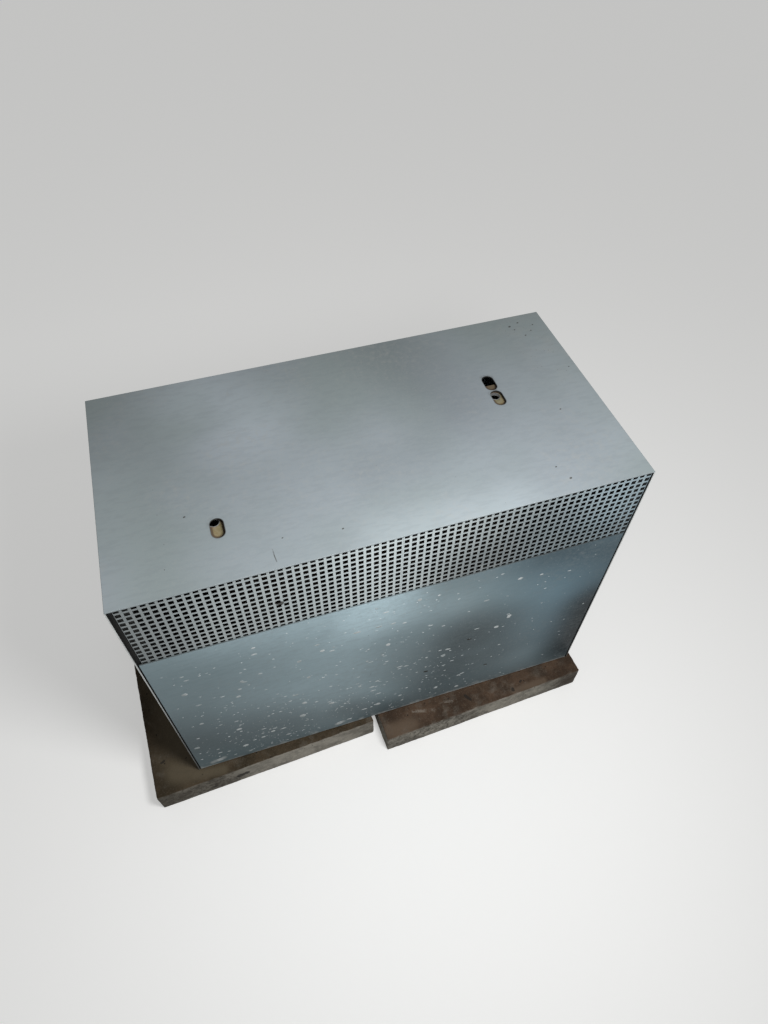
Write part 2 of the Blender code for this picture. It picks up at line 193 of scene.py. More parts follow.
class Graph(Tree):
    """The node tree of one material, from the surface's coordinates to its shader."""

    def __init__(self, name: str) -> None:
        """Starts a material with its Principled shader and the piece's own coordinates.

        Args:
            name: the material's name.
        """
        self.material = bpy.data.materials.new(name)
        super().__init__(self.material)
        self.shader = self.tree.nodes["Principled BSDF"]
        self.place = self.node("ShaderNodeTexCoord", output="Object")
        parts = self.node("ShaderNodeSeparateXYZ", inputs={0: self.place})
        self.axes = {axis: parts.other(axis) for axis in "XYZ"}

    def flat(self, plane: Plane) -> Value:
        """Coordinates in a sheet's plane: a vector whose third part is 0."""
        across, up = plane.value
        return self.node("ShaderNodeCombineXYZ", inputs={0: self.axes[across], 1: self.axes[up]})

    def facing(self, axis: str) -> Value:
        """How far the surface faces along X, Y or Z, from -1 to 1."""
        normal = self.node("ShaderNodeNewGeometry", output="Normal")
        return self.node("ShaderNodeSeparateXYZ", inputs={0: normal}, output=axis)

    def noise(
        self, size: float, detail: float = 3.0, rough: float = 0.5, stretch: Point | None = None
    ) -> Value:
        """Soft noise from 0 to 1, with its middle at 0.5.

        Args:
            size: the size of its features, in metres.
            detail: how many finer octaves are added.
            rough: how strong those are.
            stretch: factors on the coordinates; a large one makes fine lines across that axis.

        Returns:
            The noise.
        """
        place = self.place
        if stretch:
            place = self.vector("MULTIPLY", {0: place, 1: stretch})
        inputs = {"Vector": place, "Scale": 1 / size, "Detail": detail, "Roughness": rough}
        return self.node("ShaderNodeTexNoise", inputs=inputs)

    def cells(self, size: float, place: Value | None = None, dimensions: str = "3D") -> Value:
        """Distance to the nearest of scattered points, in sizes; the node's Color is random by cell."""
        inputs = {"Vector": place or self.place, "Scale": 1 / size}
        return self.node("ShaderNodeTexVoronoi", {"voronoi_dimensions": dimensions}, inputs)

    def vary(self, cells: Value) -> Value:
        """A random number for each of the cells; the node's Green is another."""
        return self.node("ShaderNodeSeparateColor", inputs={0: cells.other("Color")})

    def specks(self, plane: Plane, spacing: float, radius: float, share: float) -> Value:
        """Small round marks of mixed sizes on a sheet.

        Args:
            plane: the sheet's plane.
            spacing: the mean distance between cells, which hold one mark at most.
            radius: the largest mark's radius.
            share: the share of cells with a mark.

        Returns:
            A mask, 1 inside a mark.
        """
        distance = self.cells(spacing, self.flat(plane), "2D")
        chance = self.vary(distance)
        held = chance.below(share, 0.001)
        limit = (0.25 + 0.75 * chance.other("Green") * chance.other("Green")) * (radius / spacing)
        inside = (1 - (distance / limit)) * 3
        return held * inside.most(0.0).least(1.0)

    def line(self, plane: Plane, start: Flat, end: Flat) -> Value:
        """Distance from a stretch of straight line on a sheet.

        Args:
            plane: the sheet's plane.
            start: one end of the line, in metres.
            end: its other end.

        Returns:
            The distance in metres.
        """
        run = (end[0] - start[0], end[1] - start[1], 0.0)
        offset = self.vector("SUBTRACT", {0: self.flat(plane), 1: (*start, 0.0)})
        share = self.vector("DOT_PRODUCT", {0: offset, 1: run}, "Value")
        share = (share / (run[0] ** 2 + run[1] ** 2)).most(0.0).least(1.0)
        nearest = self.vector("SCALE", {0: run, "Scale": share})
        return self.vector("DISTANCE", {0: offset, 1: nearest}, "Value")

    def vector(self, operation: str, inputs: dict[str | int, object], output: str | int = 0) -> Value:
        """One Vector Math node."""
        return self.node("ShaderNodeVectorMath", {"operation": operation}, inputs, output)

    def mix(self, mask: Value | float, first: Value | Colour, second: Value | Colour) -> Value:
        """Mixes two colours; a mask of 0 gives the first and of 1 the second."""
        ends = {0: mask, 6: self.shade(first), 7: self.shade(second)}
        return self.node("ShaderNodeMix", {"data_type": "RGBA"}, ends, 2)

    @staticmethod
    def shade(colour: Value | Colour) -> object:
        """A colour as a socket takes it."""
        return colour if isinstance(colour, Value) else (*colour, 1.0)

    def bump(self, height: Value, depth: float, under: Value | None = None) -> Value:
        """Relief from a height between 0 and 1.

        Args:
            height: the height.
            depth: the real depth that a height of 1 stands for, in metres.
            under: relief that this one lies on.

        Returns:
            The bent normal.
        """
        inputs = {"Height": height, "Distance": depth, "Strength": 1.0}
        if under:
            inputs["Normal"] = under
        return self.node("ShaderNodeBump", inputs=inputs)

    def surface(self, **sockets: object) -> None:
        """Sets the shader's sockets, named with underscores, to values or links."""
        for name, given in sockets.items():
            self.feed(self.shader, {name.replace("_", " ").title().replace("Ior", "IOR"): given})


def tinted(colour: Colour, factor: float) -> Colour:
    """A colour made darker or brighter by a factor."""
    return tuple(factor * part for part in colour)


class Layers:
    """Colour, roughness and metal of a surface, laid on layer by layer."""

    def __init__(self, graph: Graph, colour: Value | Colour, roughness: float, metal: float = 0.0) -> None:
        """Starts with the bare material.

        Args:
            graph: the material's graph.
            colour: the bare colour.
            roughness: the bare roughness.
            metal: 1 for bare metal.
        """
        self.graph = graph
        self.colour = colour
        self.roughness: Value | float = roughness
        self.metal: Value | float = metal

    def lay(
        self, mask: Value, colour: Value | Colour, roughness: float | None = None, metal: float | None = None
    ) -> None:
        """Lays a film or mark over what is there.

        Args:
            mask: where it lies, from 0 to 1.
            colour: its colour.
            roughness: its roughness, or None to keep what is there.
            metal: its metal, or None to keep what is there.
        """
        self.colour = self.graph.mix(mask, self.colour, colour)
        if roughness is not None:
            self.roughness = self.roughness * (1 - mask) + mask * roughness
        if metal is not None:
            self.metal = self.metal * (1 - mask) + mask * metal

    def settle(self, share: float, colour: Colour, size: float, low: float, high: float) -> None:
        """Lays dust where the piece faces up.

        Args:
            share: how much of it covers.
            colour: its colour.
            size: the size of the noise that breaks it.
            low: where in the noise the dust starts.
            high: where it is full.
        """
        upward = self.graph.facing("Z").ramp(0.6, 0.95)
        self.lay(upward * self.graph.noise(size, 4.0).ramp(low, high) * share, colour, 0.9)

    def finish(self, **sockets: object) -> None:
        """Sets the shader from the layers, with any further sockets named."""
        base = self.graph.shade(self.colour)
        self.graph.surface(base_color=base, roughness=self.roughness, metallic=self.metal, **sockets)


@dataclass(frozen=True)
class SheetPaint:
    """Light grey powder coat on sheet steel, under a thin uneven film of dust."""

    name: str = "plain_paint"
    plane: Plane = Plane.FACE
    colour: Colour = (0.322, 0.366, 0.398)
    faded: Colour = (0.285, 0.335, 0.340)
    dust: Colour = (0.400, 0.405, 0.385)
    # real dirt for specks and marks, also used as painted shade on some edges
    dirt_and_shade: Colour = (0.060, 0.056, 0.050)
    bare: Colour = (0.52, 0.54, 0.54)
    roughness: float = 0.43
    sheen: float = 0.5
    cloud_size: float = 0.34
    dust_size: float = 0.011
    dust_depth: float = 0.40
    speck_spacing: float = 0.060
    speck_radius: float = 0.0014
    speck_share: float = 0.45
    grain_size: float = 0.0032
    grain: float = 0.16
    brushed: Point = (0.30, 1.0, 1.0)
    brushed_size: float = 0.007
    peel_size: float = 0.0022
    peel_depth: float = 0.00003
    wave_size: float = 0.16
    wave_depth: float = 0.0011
    drift_size: float = 0.16
    blue: Colour = (0.200, 0.330, 0.430)
    # glow and gloom: factors on the colour for the painted highlights and the painted shade
    glow: float = 2.2
    gloom: float = 0.06
    blues: tuple[Patch, ...] = ()
    highlight_patches: tuple[Patch, ...] = ()
    shade_patches: tuple[Patch, ...] = ()

    def paint(self, graph: Graph) -> None:
        """Builds the material.

        Args:
            graph: the material's graph.
        """
        clouds = graph.noise(self.cloud_size, detail=2.0)
        layers = Layers(graph, graph.mix(clouds.ramp(0.36, 0.66), self.faded, self.colour), self.roughness)
        # soft patches: painted highlights, painted shade and blue ones
        self.cloud(layers)
        grain = graph.noise(self.grain_size, detail=2.0, rough=0.7)
        wiped = graph.noise(self.brushed_size, detail=2.0, rough=0.6, stretch=self.brushed)
        layers.lay(grain.ramp(0.45, 0.75) * self.grain, self.dust)
        layers.lay(wiped.below(0.45, 0.25) * self.grain * 0.8, tinted(self.colour, 0.6))
        specks = graph.specks(self.plane, self.speck_spacing, self.speck_radius, self.speck_share)
        layers.lay(specks * 0.85, self.dirt_and_shade, 0.75)
        self.soil(layers)
        peel = graph.bump(graph.noise(self.peel_size, detail=1.0), self.peel_depth)
        wave = graph.bump(graph.noise(self.wave_size, detail=0.0), self.wave_depth, peel)
        layers.finish(normal=wave, specular_ior_level=self.sheen)

    def cloud(self, layers: Layers) -> None:
        """Lays soft patches: blue ones, painted highlights that brighten the colour, and painted shade that
        darkens it.

        Args:
            layers: the paint so far.
        """
        drift = layers.graph.noise(self.drift_size, detail=2.0).ramp(0.0, 0.45)
        bright, dim = tinted(self.colour, self.glow), tinted(self.colour, self.gloom)
        for patches, colour in ((self.blues, self.blue), (self.highlight_patches, bright), (self.shade_patches, dim)):
            for start, end, reach, strength in patches:
                mask = layers.graph.line(self.plane, start, end).below(reach / 2, reach) * drift
                layers.lay(mask * strength, colour)

    def soil(self, layers: Layers) -> None:
        """Lays the dust of a sheet in the open.

        Args:
            layers: the paint so far.
        """
        grain = layers.graph.noise(self.dust_size, detail=4.0, rough=0.65).ramp(0.42, 0.78)
        patch = layers.graph.noise(self.cloud_size / 2, detail=3.0).ramp(0.38, 0.70)
        layers.lay(grain * patch * self.dust_depth, self.dust, 0.72)


@dataclass(frozen=True)
class CoverPaint(SheetPaint):
    """The cover's paint: slots with dirty cut edges and painted shade on their walls, a scratch, specks
    towards one corner, edges paled by wear and a painted highlight, and painted shade on the front lip.
    """

    name: str = "cover_paint"
    plane: Plane = Plane.TOP
    speck_share: float = 0.16
    speck_radius: float = 0.0010
    rim: float = 0.0009
    rim_colour: Colour = (0.090, 0.096, 0.096)
    # wall: the painted shade of the slot walls; shaded: the painted shade of the front lip
    wall: Colour = (0.012, 0.012, 0.011)
    shaded: Colour = (0.230, 0.265, 0.280)
    smudge: float = 0.007
    scratch_width: float = 0.0008
    corner: Stroke = ((0.40, 0.20), (0.44, 0.10))
    corner_reach: float = 0.15
    grit_spacing: float = 0.008
    grit_radius: float = 0.0011
    edge: float = 0.0012
    slot_radius: float = 0.011
    slots: tuple[Stroke, ...] = (
        ((-0.270, -0.1355), (-0.270, -0.1185)),
        ((0.270, 0.0065), (0.270, 0.0235)),
        ((0.270, 0.0480), (0.270, 0.0650)),
    )
    scratches: tuple[Stroke, ...] = (
        ((-0.1969, -0.1925), (-0.1966, -0.2050)),
        ((-0.1966, -0.2050), (-0.1955, -0.2165)),
    )
    marks: tuple[tuple[Flat, float], ...] = (
        ((0.306, -0.200), 0.0017), ((0.294, -0.170), 0.0012), ((-0.317, -0.090), 0.0014),
        ((-0.084, -0.187), 0.0013), ((-0.178, -0.176), 0.0010), ((0.365, -0.046), 0.0012),
        ((0.434, 0.055), 0.0010), ((0.375, 0.200), 0.0019), ((0.396, 0.207), 0.0015),
        ((0.423, 0.193), 0.0012), ((0.381, 0.188), 0.0012), ((0.412, 0.177), 0.0011),
        ((0.395, 0.166), 0.0013),
    )
    # painted highlights in soft patches, along the front and both sides among them
    highlight_patches: tuple[Patch, ...] = (
        ((-0.250, 0.20), (-0.190, 0.10), 0.16, 0.24),
        ((-0.020, -0.225), (0.200, -0.225), 0.08, 0.15),
        ((0.450, 0.18), (0.450, -0.15), 0.11, 0.12),
        ((-0.450, 0.00), (-0.450, -0.20), 0.11, 0.12),
    )
    # painted shade in soft patches
    shade_patches: tuple[Patch, ...] = (
        ((0.120, 0.22), (0.180, 0.03), 0.16, 0.22),
        ((0.000, -0.09), (0.080, -0.08), 0.09, 0.12),
    )

    def soil(self, layers: Layers) -> None:
        """Lays dust, the marks round the slots, the scratch, corner specks, edges paled by wear and a
        painted highlight, and painted shade on the front lip.

        Args:
            layers: the paint so far.
        """
        super().soil(layers)
        graph = layers.graph
        mottle = graph.noise(0.035, detail=5.0, rough=0.7)
        near = graph.line(self.plane, *self.corner).below(self.corner_reach / 2, self.corner_reach)
        gritty = graph.specks(self.plane, self.grit_spacing, self.grit_radius, 0.5)
        layers.lay(gritty * near * mottle.ramp(0.45, 0.6), self.dirt_and_shade, 0.8)
        layers.lay(near * mottle.ramp(0.4, 0.75) * 0.25, self.dust, 0.7)
        upright = 1 - graph.facing("Z").ramp(0.3, 0.8)
        for start, end in self.slots:
            gap = graph.line(self.plane, start, end) - self.slot_radius
            behind = (graph.axes["Y"] - (start[1] + end[1]) / 2).ramp(0.006, 0.018)
            smear = gap.below(self.smudge * 0.6, self.smudge) * mottle.ramp(0.42, 0.62)
            layers.lay(smear * (0.12 + 0.50 * behind), self.dirt_and_shade, 0.7)
            rim = gap.below(self.rim, self.rim)
            layers.lay(rim * 0.75, self.rim_colour, 0.6)
            # painted shade: the upright walls of the slots near black
            layers.lay(rim * upright, self.wall, 0.6)
        for start, end in self.scratches:
            stroke = graph.line(self.plane, start, end).below(self.scratch_width, self.scratch_width)
            layers.lay(stroke * mottle.ramp(0.40, 0.62) * 0.75, self.dirt_and_shade, 0.7)
        for spot, radius in self.marks:
            ragged = graph.line(self.plane, spot, (spot[0] + radius, spot[1] + radius / 3))
            layers.lay(ragged.below(radius, radius / 2) * 0.85, self.dirt_and_shade, 0.8)
        # edges paler: worn paint, with a painted highlight along them
        side = graph.axes["X"].size().above(HALF_WIDTH - self.edge, self.edge)
        front = graph.axes["Y"].size().above(HALF_DEPTH - self.edge, self.edge)
        layers.lay(side.most(front) * mottle.ramp(0.40, 0.65) * 0.22, self.bare, 0.5)
        # painted shade on the front lip, where the cover faces forward
        layers.lay(graph.facing("Y").below(-0.35, 0.3) * front * 0.8, self.shaded)


@dataclass(frozen=True)
class FrontPaint(SheetPaint):
    """The front panel's paint: a fine mist of whitewash, smears at its foot, and soft streaks of painted
    highlight and painted shade.
    """

    name: str = "front_paint"
    colour: Colour = (0.306, 0.396, 0.432)
    faded: Colour = (0.288, 0.380, 0.412)
    sheen: float = 0.06
    blue: Colour = (0.190, 0.335, 0.430)
    dust: Colour = (0.330, 0.370, 0.375)
    lime: Colour = (0.66, 0.70, 0.69)
    speck_share: float = 0.12
    foot: float = 0.0715
    smear_height: float = 0.030
    mist_spacing: float = 0.011
    mist_radius: float = 0.0020
    mist_share: float = 0.30
    heavy: Stroke = ((-0.36, 0.12), (-0.10, 0.16))
    heavy_reach: float = 0.26
    wipes: tuple[Stroke, ...] = (((-0.416, 0.088), (-0.392, 0.095)), ((-0.132, 0.088), (-0.120, 0.092)))
    wipe_radius: float = 0.0065
    wipe_fray: float = 0.016
    nicks: tuple[Flat, ...] = ((0.161, 0.327), (0.218, 0.171), (0.070, 0.230))
    nick_radius: float = 0.0032
    nick_length: float = 0.004
    blues: tuple[Patch, ...] = (((0.350, 0.60), (0.440, 0.30), 0.26, 0.75),)
    # painted highlights in soft streaks
    highlight_patches: tuple[Patch, ...] = (
        ((-0.045, 0.60), (-0.050, 0.54), 0.14, 0.80),
        ((-0.420, 0.595), (-0.010, 0.580), 0.10, 0.10),
        ((-0.190, 0.30), (-0.170, 0.24), 0.08, 0.20),
        ((-0.300, 0.345), (-0.250, 0.330), 0.09, 0.09),
        ((-0.100, 0.56), (-0.140, 0.24), 0.27, 0.34),
        ((-0.300, 0.61), (-0.120, 0.61), 0.13, 0.24),
        ((0.070, 0.50), (0.120, 0.48), 0.08, 0.14),
        ((0.310, 0.16), (0.310, 0.10), 0.08, 0.16),
    )
    # painted shade in soft streaks
    shade_patches: tuple[Patch, ...] = (
        ((0.470, 0.34), (0.465, 0.15), 0.18, 0.84),
        ((0.460, 0.31), (0.457, 0.16), 0.13, 0.92),
        ((-0.010, 0.42), (-0.005, 0.28), 0.09, 0.15),
        ((0.135, 0.34), (0.115, 0.19), 0.17, 0.60),
        ((0.100, 0.595), (0.330, 0.595), 0.09, 0.22),
        ((0.220, 0.34), (0.250, 0.22), 0.16, 0.40),
        ((0.310, 0.60), (0.450, 0.54), 0.17, 0.60),
        ((-0.450, 0.190), (-0.240, 0.150), 0.22, 0.50),
        ((-0.450, 0.330), (-0.450, 0.240), 0.11, 0.16),
        ((-0.095, 0.150), (-0.025, 0.085), 0.09, 0.42),
        ((-0.050, 0.075), (0.300, 0.075), 0.11, 0.32),
    )

    def soil(self, layers: Layers) -> None:
        """Lays the mist, the smears, the nicks and painted shade on the top edge.

        Args:
            layers: the paint so far.
        """
        super().soil(layers)
        graph = layers.graph
        heavy = graph.line(self.plane, *self.heavy).below(self.heavy_reach / 2, self.heavy_reach)
        mist = graph.specks(self.plane, self.mist_spacing, self.mist_radius, self.mist_share)
        layers.lay(mist * (0.16 + 0.5 * heavy), self.lime, 0.8)
        height = graph.axes["Z"] - self.foot
        ragged = graph.noise(0.028, detail=5.0, rough=0.7)
        smear = height.below(self.smear_height / 2, self.smear_height) * ragged.ramp(0.50, 0.66)
        layers.lay(smear * 0.55, self.lime, 0.85)
        layers.lay(height.below(0.004, 0.006) * ragged.ramp(0.35, 0.55) * 0.6, self.lime, 0.85)
        for start, end in self.wipes:
            wipe = graph.line(self.plane, start, end) + (ragged - 0.5) * self.wipe_fray
            layers.lay(wipe.below(self.wipe_radius, self.wipe_radius) * 0.65, self.lime, 0.85)
        for spot in self.nicks:
            nick = graph.line(self.plane, spot, (spot[0] + self.nick_length, spot[1] - MM))
            edge = nick + (ragged - 0.5) * self.nick_length
            layers.lay(edge.below(self.nick_radius, 0.0012) * 0.9, self.dirt_and_shade, 0.8)
        # painted shade: the top edge darkened where it faces up
        layers.lay(graph.facing("Z").ramp(0.3, 0.8) * 0.75, self.dirt_and_shade, 0.8)


@dataclass(frozen=True)
class EdgePaint(SheetPaint):
    """Paint of a side panel, with a painted highlight on the upper part of the edges that stand proud at the
    front and back, painted shade on their lower part, and painted shade on the inner face.
    """

    name: str = "side_paint"
    plane: Plane = Plane.SIDE
    # worn: width of the edge strip that takes the painted highlight and painted shade; chalk: the
    # highlight's colour; inside: the inner face's painted shade
    worn: float = 0.0013
    chalk: Colour = (0.80, 0.83, 0.82)
    inside: Colour = (0.006, 0.007, 0.006)
    foot: float = 0.20
    band: float = 0.5865
    scuff_size: float = 0.05

    def soil(self, layers: Layers) -> None:
        """Lays dust, long scuffs, the painted highlight and painted shade of the edges, and the painted
        shade of the inner face.

        Args:
            layers: the paint so far.
        """
        super().soil(layers)
        graph = layers.graph
        scuff = graph.noise(self.scuff_size, detail=5.0, rough=0.6, stretch=(1.0, 1.0, 0.12))
        layers.lay(scuff.ramp(0.62, 0.80) * 0.35, self.dust, 0.6)
        low = (graph.axes["Z"] - 0.07).below(0.03, 0.06)
        layers.lay(low * scuff.ramp(0.35, 0.7) * 0.4, self.dirt_and_shade, 0.8)
        # painted highlight on the edges, growing from foot to band, and painted shade below it
        edge = graph.axes["Y"].size().above(HALF_DEPTH - self.worn, self.worn)
        high = graph.axes["Z"].ramp(self.foot, self.band)
        layers.lay(edge * (1 - high) * 0.80, self.dirt_and_shade, 0.7)
        layers.lay(edge * (0.10 + 0.80 * high), self.chalk, 0.42)
        # painted shade: the inner face near black
        layers.lay((graph.facing("X") * graph.axes["X"]).below(-0.1, 0.1), self.inside, 0.9)


@dataclass(frozen=True)
class VentPaint(SheetPaint):
    """Paint of the perforated sheets, with painted shade on the walls of their holes and lint caught in
    them.
    """

    name: str = "vent_paint"
    colour: Colour = (0.50, 0.56, 0.57)
    faded: Colour = (0.42, 0.475, 0.485)
    dust: Colour = (0.60, 0.61, 0.58)
    speck_share: float = 0.15
    sheen: float = 0.3
    blue: Colour = (0.360, 0.490, 0.560)
    wall: Colour = (0.012, 0.012, 0.012)
    lint: Stroke = ((-0.207, 0.662), (-0.203, 0.657))
    lint_radius: float = 0.0055
    lint_fray: float = 0.006
    blues: tuple[Patch, ...] = (((0.470, 0.74), (0.400, 0.60), 0.34, 0.85),)
    # painted highlight in a soft patch
    highlight_patches: tuple[Patch, ...] = (((-0.030, 0.74), (-0.055, 0.60), 0.20, 0.34),)
    # painted shade in soft patches
    shade_patches: tuple[Patch, ...] = (
        ((0.250, 0.70), (0.150, 0.60), 0.15, 0.42),
        ((0.320, 0.62), (0.200, 0.60), 0.12, 0.30),
        ((0.310, 0.605), (0.430, 0.605), 0.06, 0.34),
        ((-0.460, 0.76), (-0.460, 0.60), 0.17, 0.42),
    )

    def soil(self, layers: Layers) -> None:
        """Lays dust, the lint, and painted shade on what faces across the holes.

        Args:
            layers: the paint so far.
        """
        super().soil(layers)
        ragged = layers.graph.noise(self.lint_fray, detail=3.0, rough=0.7)
        lint = layers.graph.line(self.plane, *self.lint) + (ragged - 0.5) * self.lint_fray
        layers.lay(lint.below(self.lint_radius, 0.0015) * 0.9, self.dirt_and_shade, 0.9)
        # painted shade: the faces across the holes, their walls, near black
        layers.lay(1 - layers.graph.facing("Y").size().ramp(0.3, 0.7), self.wall, 0.9)


@dataclass(frozen=True)
class Concrete:
    """Worn concrete paving: grey cement with sand and stone, brown dust trodden into its top, and painted
    shade and painted highlight along its front face.
    """

    name: str
    lip: Stroke
    lip_reach: float
    swept_and_lit: Colour
    dust: Colour = (0.116, 0.073, 0.047)
    deep_dust: Colour = (0.057, 0.036, 0.023)
    cement: Colour = (0.440, 0.408, 0.343)
    stain: Colour = (0.200, 0.185, 0.155)
    pale: Colour = (0.640, 0.600, 0.515)
    pit: Colour = (0.030, 0.026, 0.022)
    soot: Colour = (0.090, 0.080, 0.066)
    brow: Flat = (0.060, 0.068)
    brow_share: float = 0.6
    swept_and_lit_marks: tuple[Mark, ...] = ()
    dark_marks: tuple[Mark, ...] = ()
    pale_marks: tuple[Mark, ...] = ()
    front_pits: tuple[Mark, ...] = ()
    # painted shade and painted highlight on the front face: darker and lighter stretches along it
    painted_shade: tuple[Patch, ...] = ()
    painted_light: tuple[Patch, ...] = ()

    def paint(self, graph: Graph) -> None:
        """Builds the material.

        Args:
            graph: the material's graph.
        """
        sand = graph.noise(0.0034, detail=3.0, rough=0.75)
        patches = graph.noise(0.030, detail=5.0, rough=0.6)
        ragged = graph.noise(0.013, detail=5.0, rough=0.7)
        layers = self.cast(graph, sand, patches)
        upward = graph.facing("Z").ramp(0.30, 0.75)
        depth = graph.noise(0.045, detail=6.0, rough=0.66)
        trodden = graph.mix(depth.ramp(0.36, 0.66), self.deep_dust, self.dust)
        cover = graph.noise(0.020, detail=4.0, rough=0.6).ramp(0.22, 0.52)
        wavy = graph.noise(0.040, detail=3.0, rough=0.6)
        inward = graph.line(Plane.TOP, *self.lip) + (ragged + wavy - 1.0) * self.lip_reach * 2.2
        settled = upward * inward.ramp(-self.lip_reach, self.lip_reach)
        open_face = 1 - settled
        layers.lay(upward * open_face * ragged.ramp(0.42, 0.62) * 0.25, self.pale)
        layers.lay(settled * (0.70 + 0.30 * cover), trodden, 0.97)
        layers.lay(settled * sand.ramp(0.52, 0.72) * 0.14, self.cement)
        brow = graph.axes["Z"].ramp(*self.brow) * ragged.ramp(0.25, 0.55)
        layers.lay(brow * open_face * self.brow_share, trodden, 0.95)
        # painted highlight, broken by patches, and painted shade on the front face
        patchy_face = open_face * (0.5 + 0.5 * patches.ramp(0.40, 0.60))
        face_light_and_shade = ((self.painted_shade, open_face, self.deep_dust), (self.painted_light, patchy_face, self.pale))
        for marks, mask, colour in face_light_and_shade:
            for start, end, reach, share in marks:
                film = graph.line(Plane.FACE, start, end).below(reach / 2, reach)
                layers.lay(film * mask * share, colour)
        # lighter marks on the top; the long one beside the cabinet's left side is painted light that lifts
        # the cabinet's cast shadow
        top_marks = (
            (self.swept_and_lit_marks, 0.0, 1.6, upward * (0.45 + 0.40 * cover), self.swept_and_lit, 0.95),
            (self.pale_marks, 3.0, 1.2, upward * ragged.ramp(0.40, 0.60) * 0.30, self.pale, None),
            (self.dark_marks, 3.0, 0.6, upward * 0.8, self.pit, None),
        )
        for marks, fray, soft, mask, colour, roughness in top_marks:
            for start, end, radius in marks:
                spot = graph.line(Plane.TOP, start, end) + (ragged - 0.5) * radius * fray
                layers.lay(spot.below(radius, radius * soft) * mask, colour, roughness)
        pits = self.pitted(graph, ragged)
        layers.lay(pits * 0.85, self.pit)
        relief = graph.bump(patches, 0.0022, graph.bump(sand, 0.0009))
        layers.finish(normal=graph.bump(1 - pits, 0.0016, relief), specular_ior_level=0.3)

    def cast(self, graph: Graph, sand: Value, patches: Value) -> Layers:
        """Lays the bare concrete.

        Args:
            graph: the material's graph.
            sand: the finest noise.
            patches: a broad noise.

        Returns:
            The layers, ready for dust and marks.
        """
        clouds = graph.noise(0.060, detail=6.0, rough=0.62)
        layers = Layers(graph, graph.mix(clouds.ramp(0.36, 0.62), self.stain, self.cement), 0.92)
        stones = graph.cells(0.0065)
        tone = graph.vary(stones)
        layers.lay(stones.below(0.34, 0.16) * tone.above(0.62, 0.2) * 0.45, self.pale)
        layers.lay(stones.below(0.30, 0.14) * tone.below(0.22, 0.2) * 0.5, self.stain)
        layers.lay(sand.ramp(0.50, 0.68) * 0.45, self.pale)
        layers.lay(sand.below(0.40, 0.14) * 0.60, self.stain)
        layers.lay(patches.ramp(0.52, 0.66) * 0.45, self.pale)
        crust = graph.noise(0.010, detail=4.0, rough=0.7)
        layers.lay(crust.ramp(0.48, 0.62) * 0.50, self.pale)
        layers.lay(crust.below(0.45, 0.10) * 0.65, self.soot)
        tired = graph.noise(0.110, detail=3.0, rough=0.6)
        layers.lay(tired.below(0.50, 0.14) * 0.50, self.stain)
        return layers

    def pitted(self, graph: Graph, ragged: Value) -> Value:
        """Small holes all over, and the larger ones of the front.

        Args:
            graph: the material's graph.
            ragged: the noise that frays the larger ones.

        Returns:
            A mask, 1 in a hole.
        """
        holes = graph.cells(0.0095)
        pits = holes.below(0.16, 0.06) * graph.vary(holes).below(0.10, 0.02)
        forward = graph.facing("Y").below(-0.35, 0.3)
        for start, end, radius in self.front_pits:
            broken = graph.line(Plane.FACE, start, end) + (ragged - 0.5) * radius * 2.5
            pits = pits.most(broken.below(radius, radius * 0.6) * forward)
        return pits


@dataclass(frozen=True)
class FramePaint:
    """Dark grey paint of the frame inside the cabinet, made near black as painted shade, with dust where it
    faces up.
    """

    name: str = "shaded_frame_paint"
    colour: Colour = (0.008, 0.009, 0.009)
    light: Colour = (0.016, 0.016, 0.015)
    dust: Colour = (0.060, 0.052, 0.042)

    def paint(self, graph: Graph) -> None:
        """Builds the material.

        Args:
            graph: the material's graph.
        """
        clouds = graph.noise(0.05, detail=4.0)
        layers = Layers(graph, graph.mix(clouds.ramp(0.35, 0.65), self.colour, self.light), 0.7)
        settled = graph.facing("Z").ramp(0.5, 0.95) * graph.noise(0.012, detail=5.0).ramp(0.30, 0.60)
        layers.lay(settled * 0.75, self.dust, 0.9)
        relief = graph.bump(graph.noise(0.0015, detail=2.0), 0.00005)
        layers.finish(normal=relief, specular_ior_level=0.2)


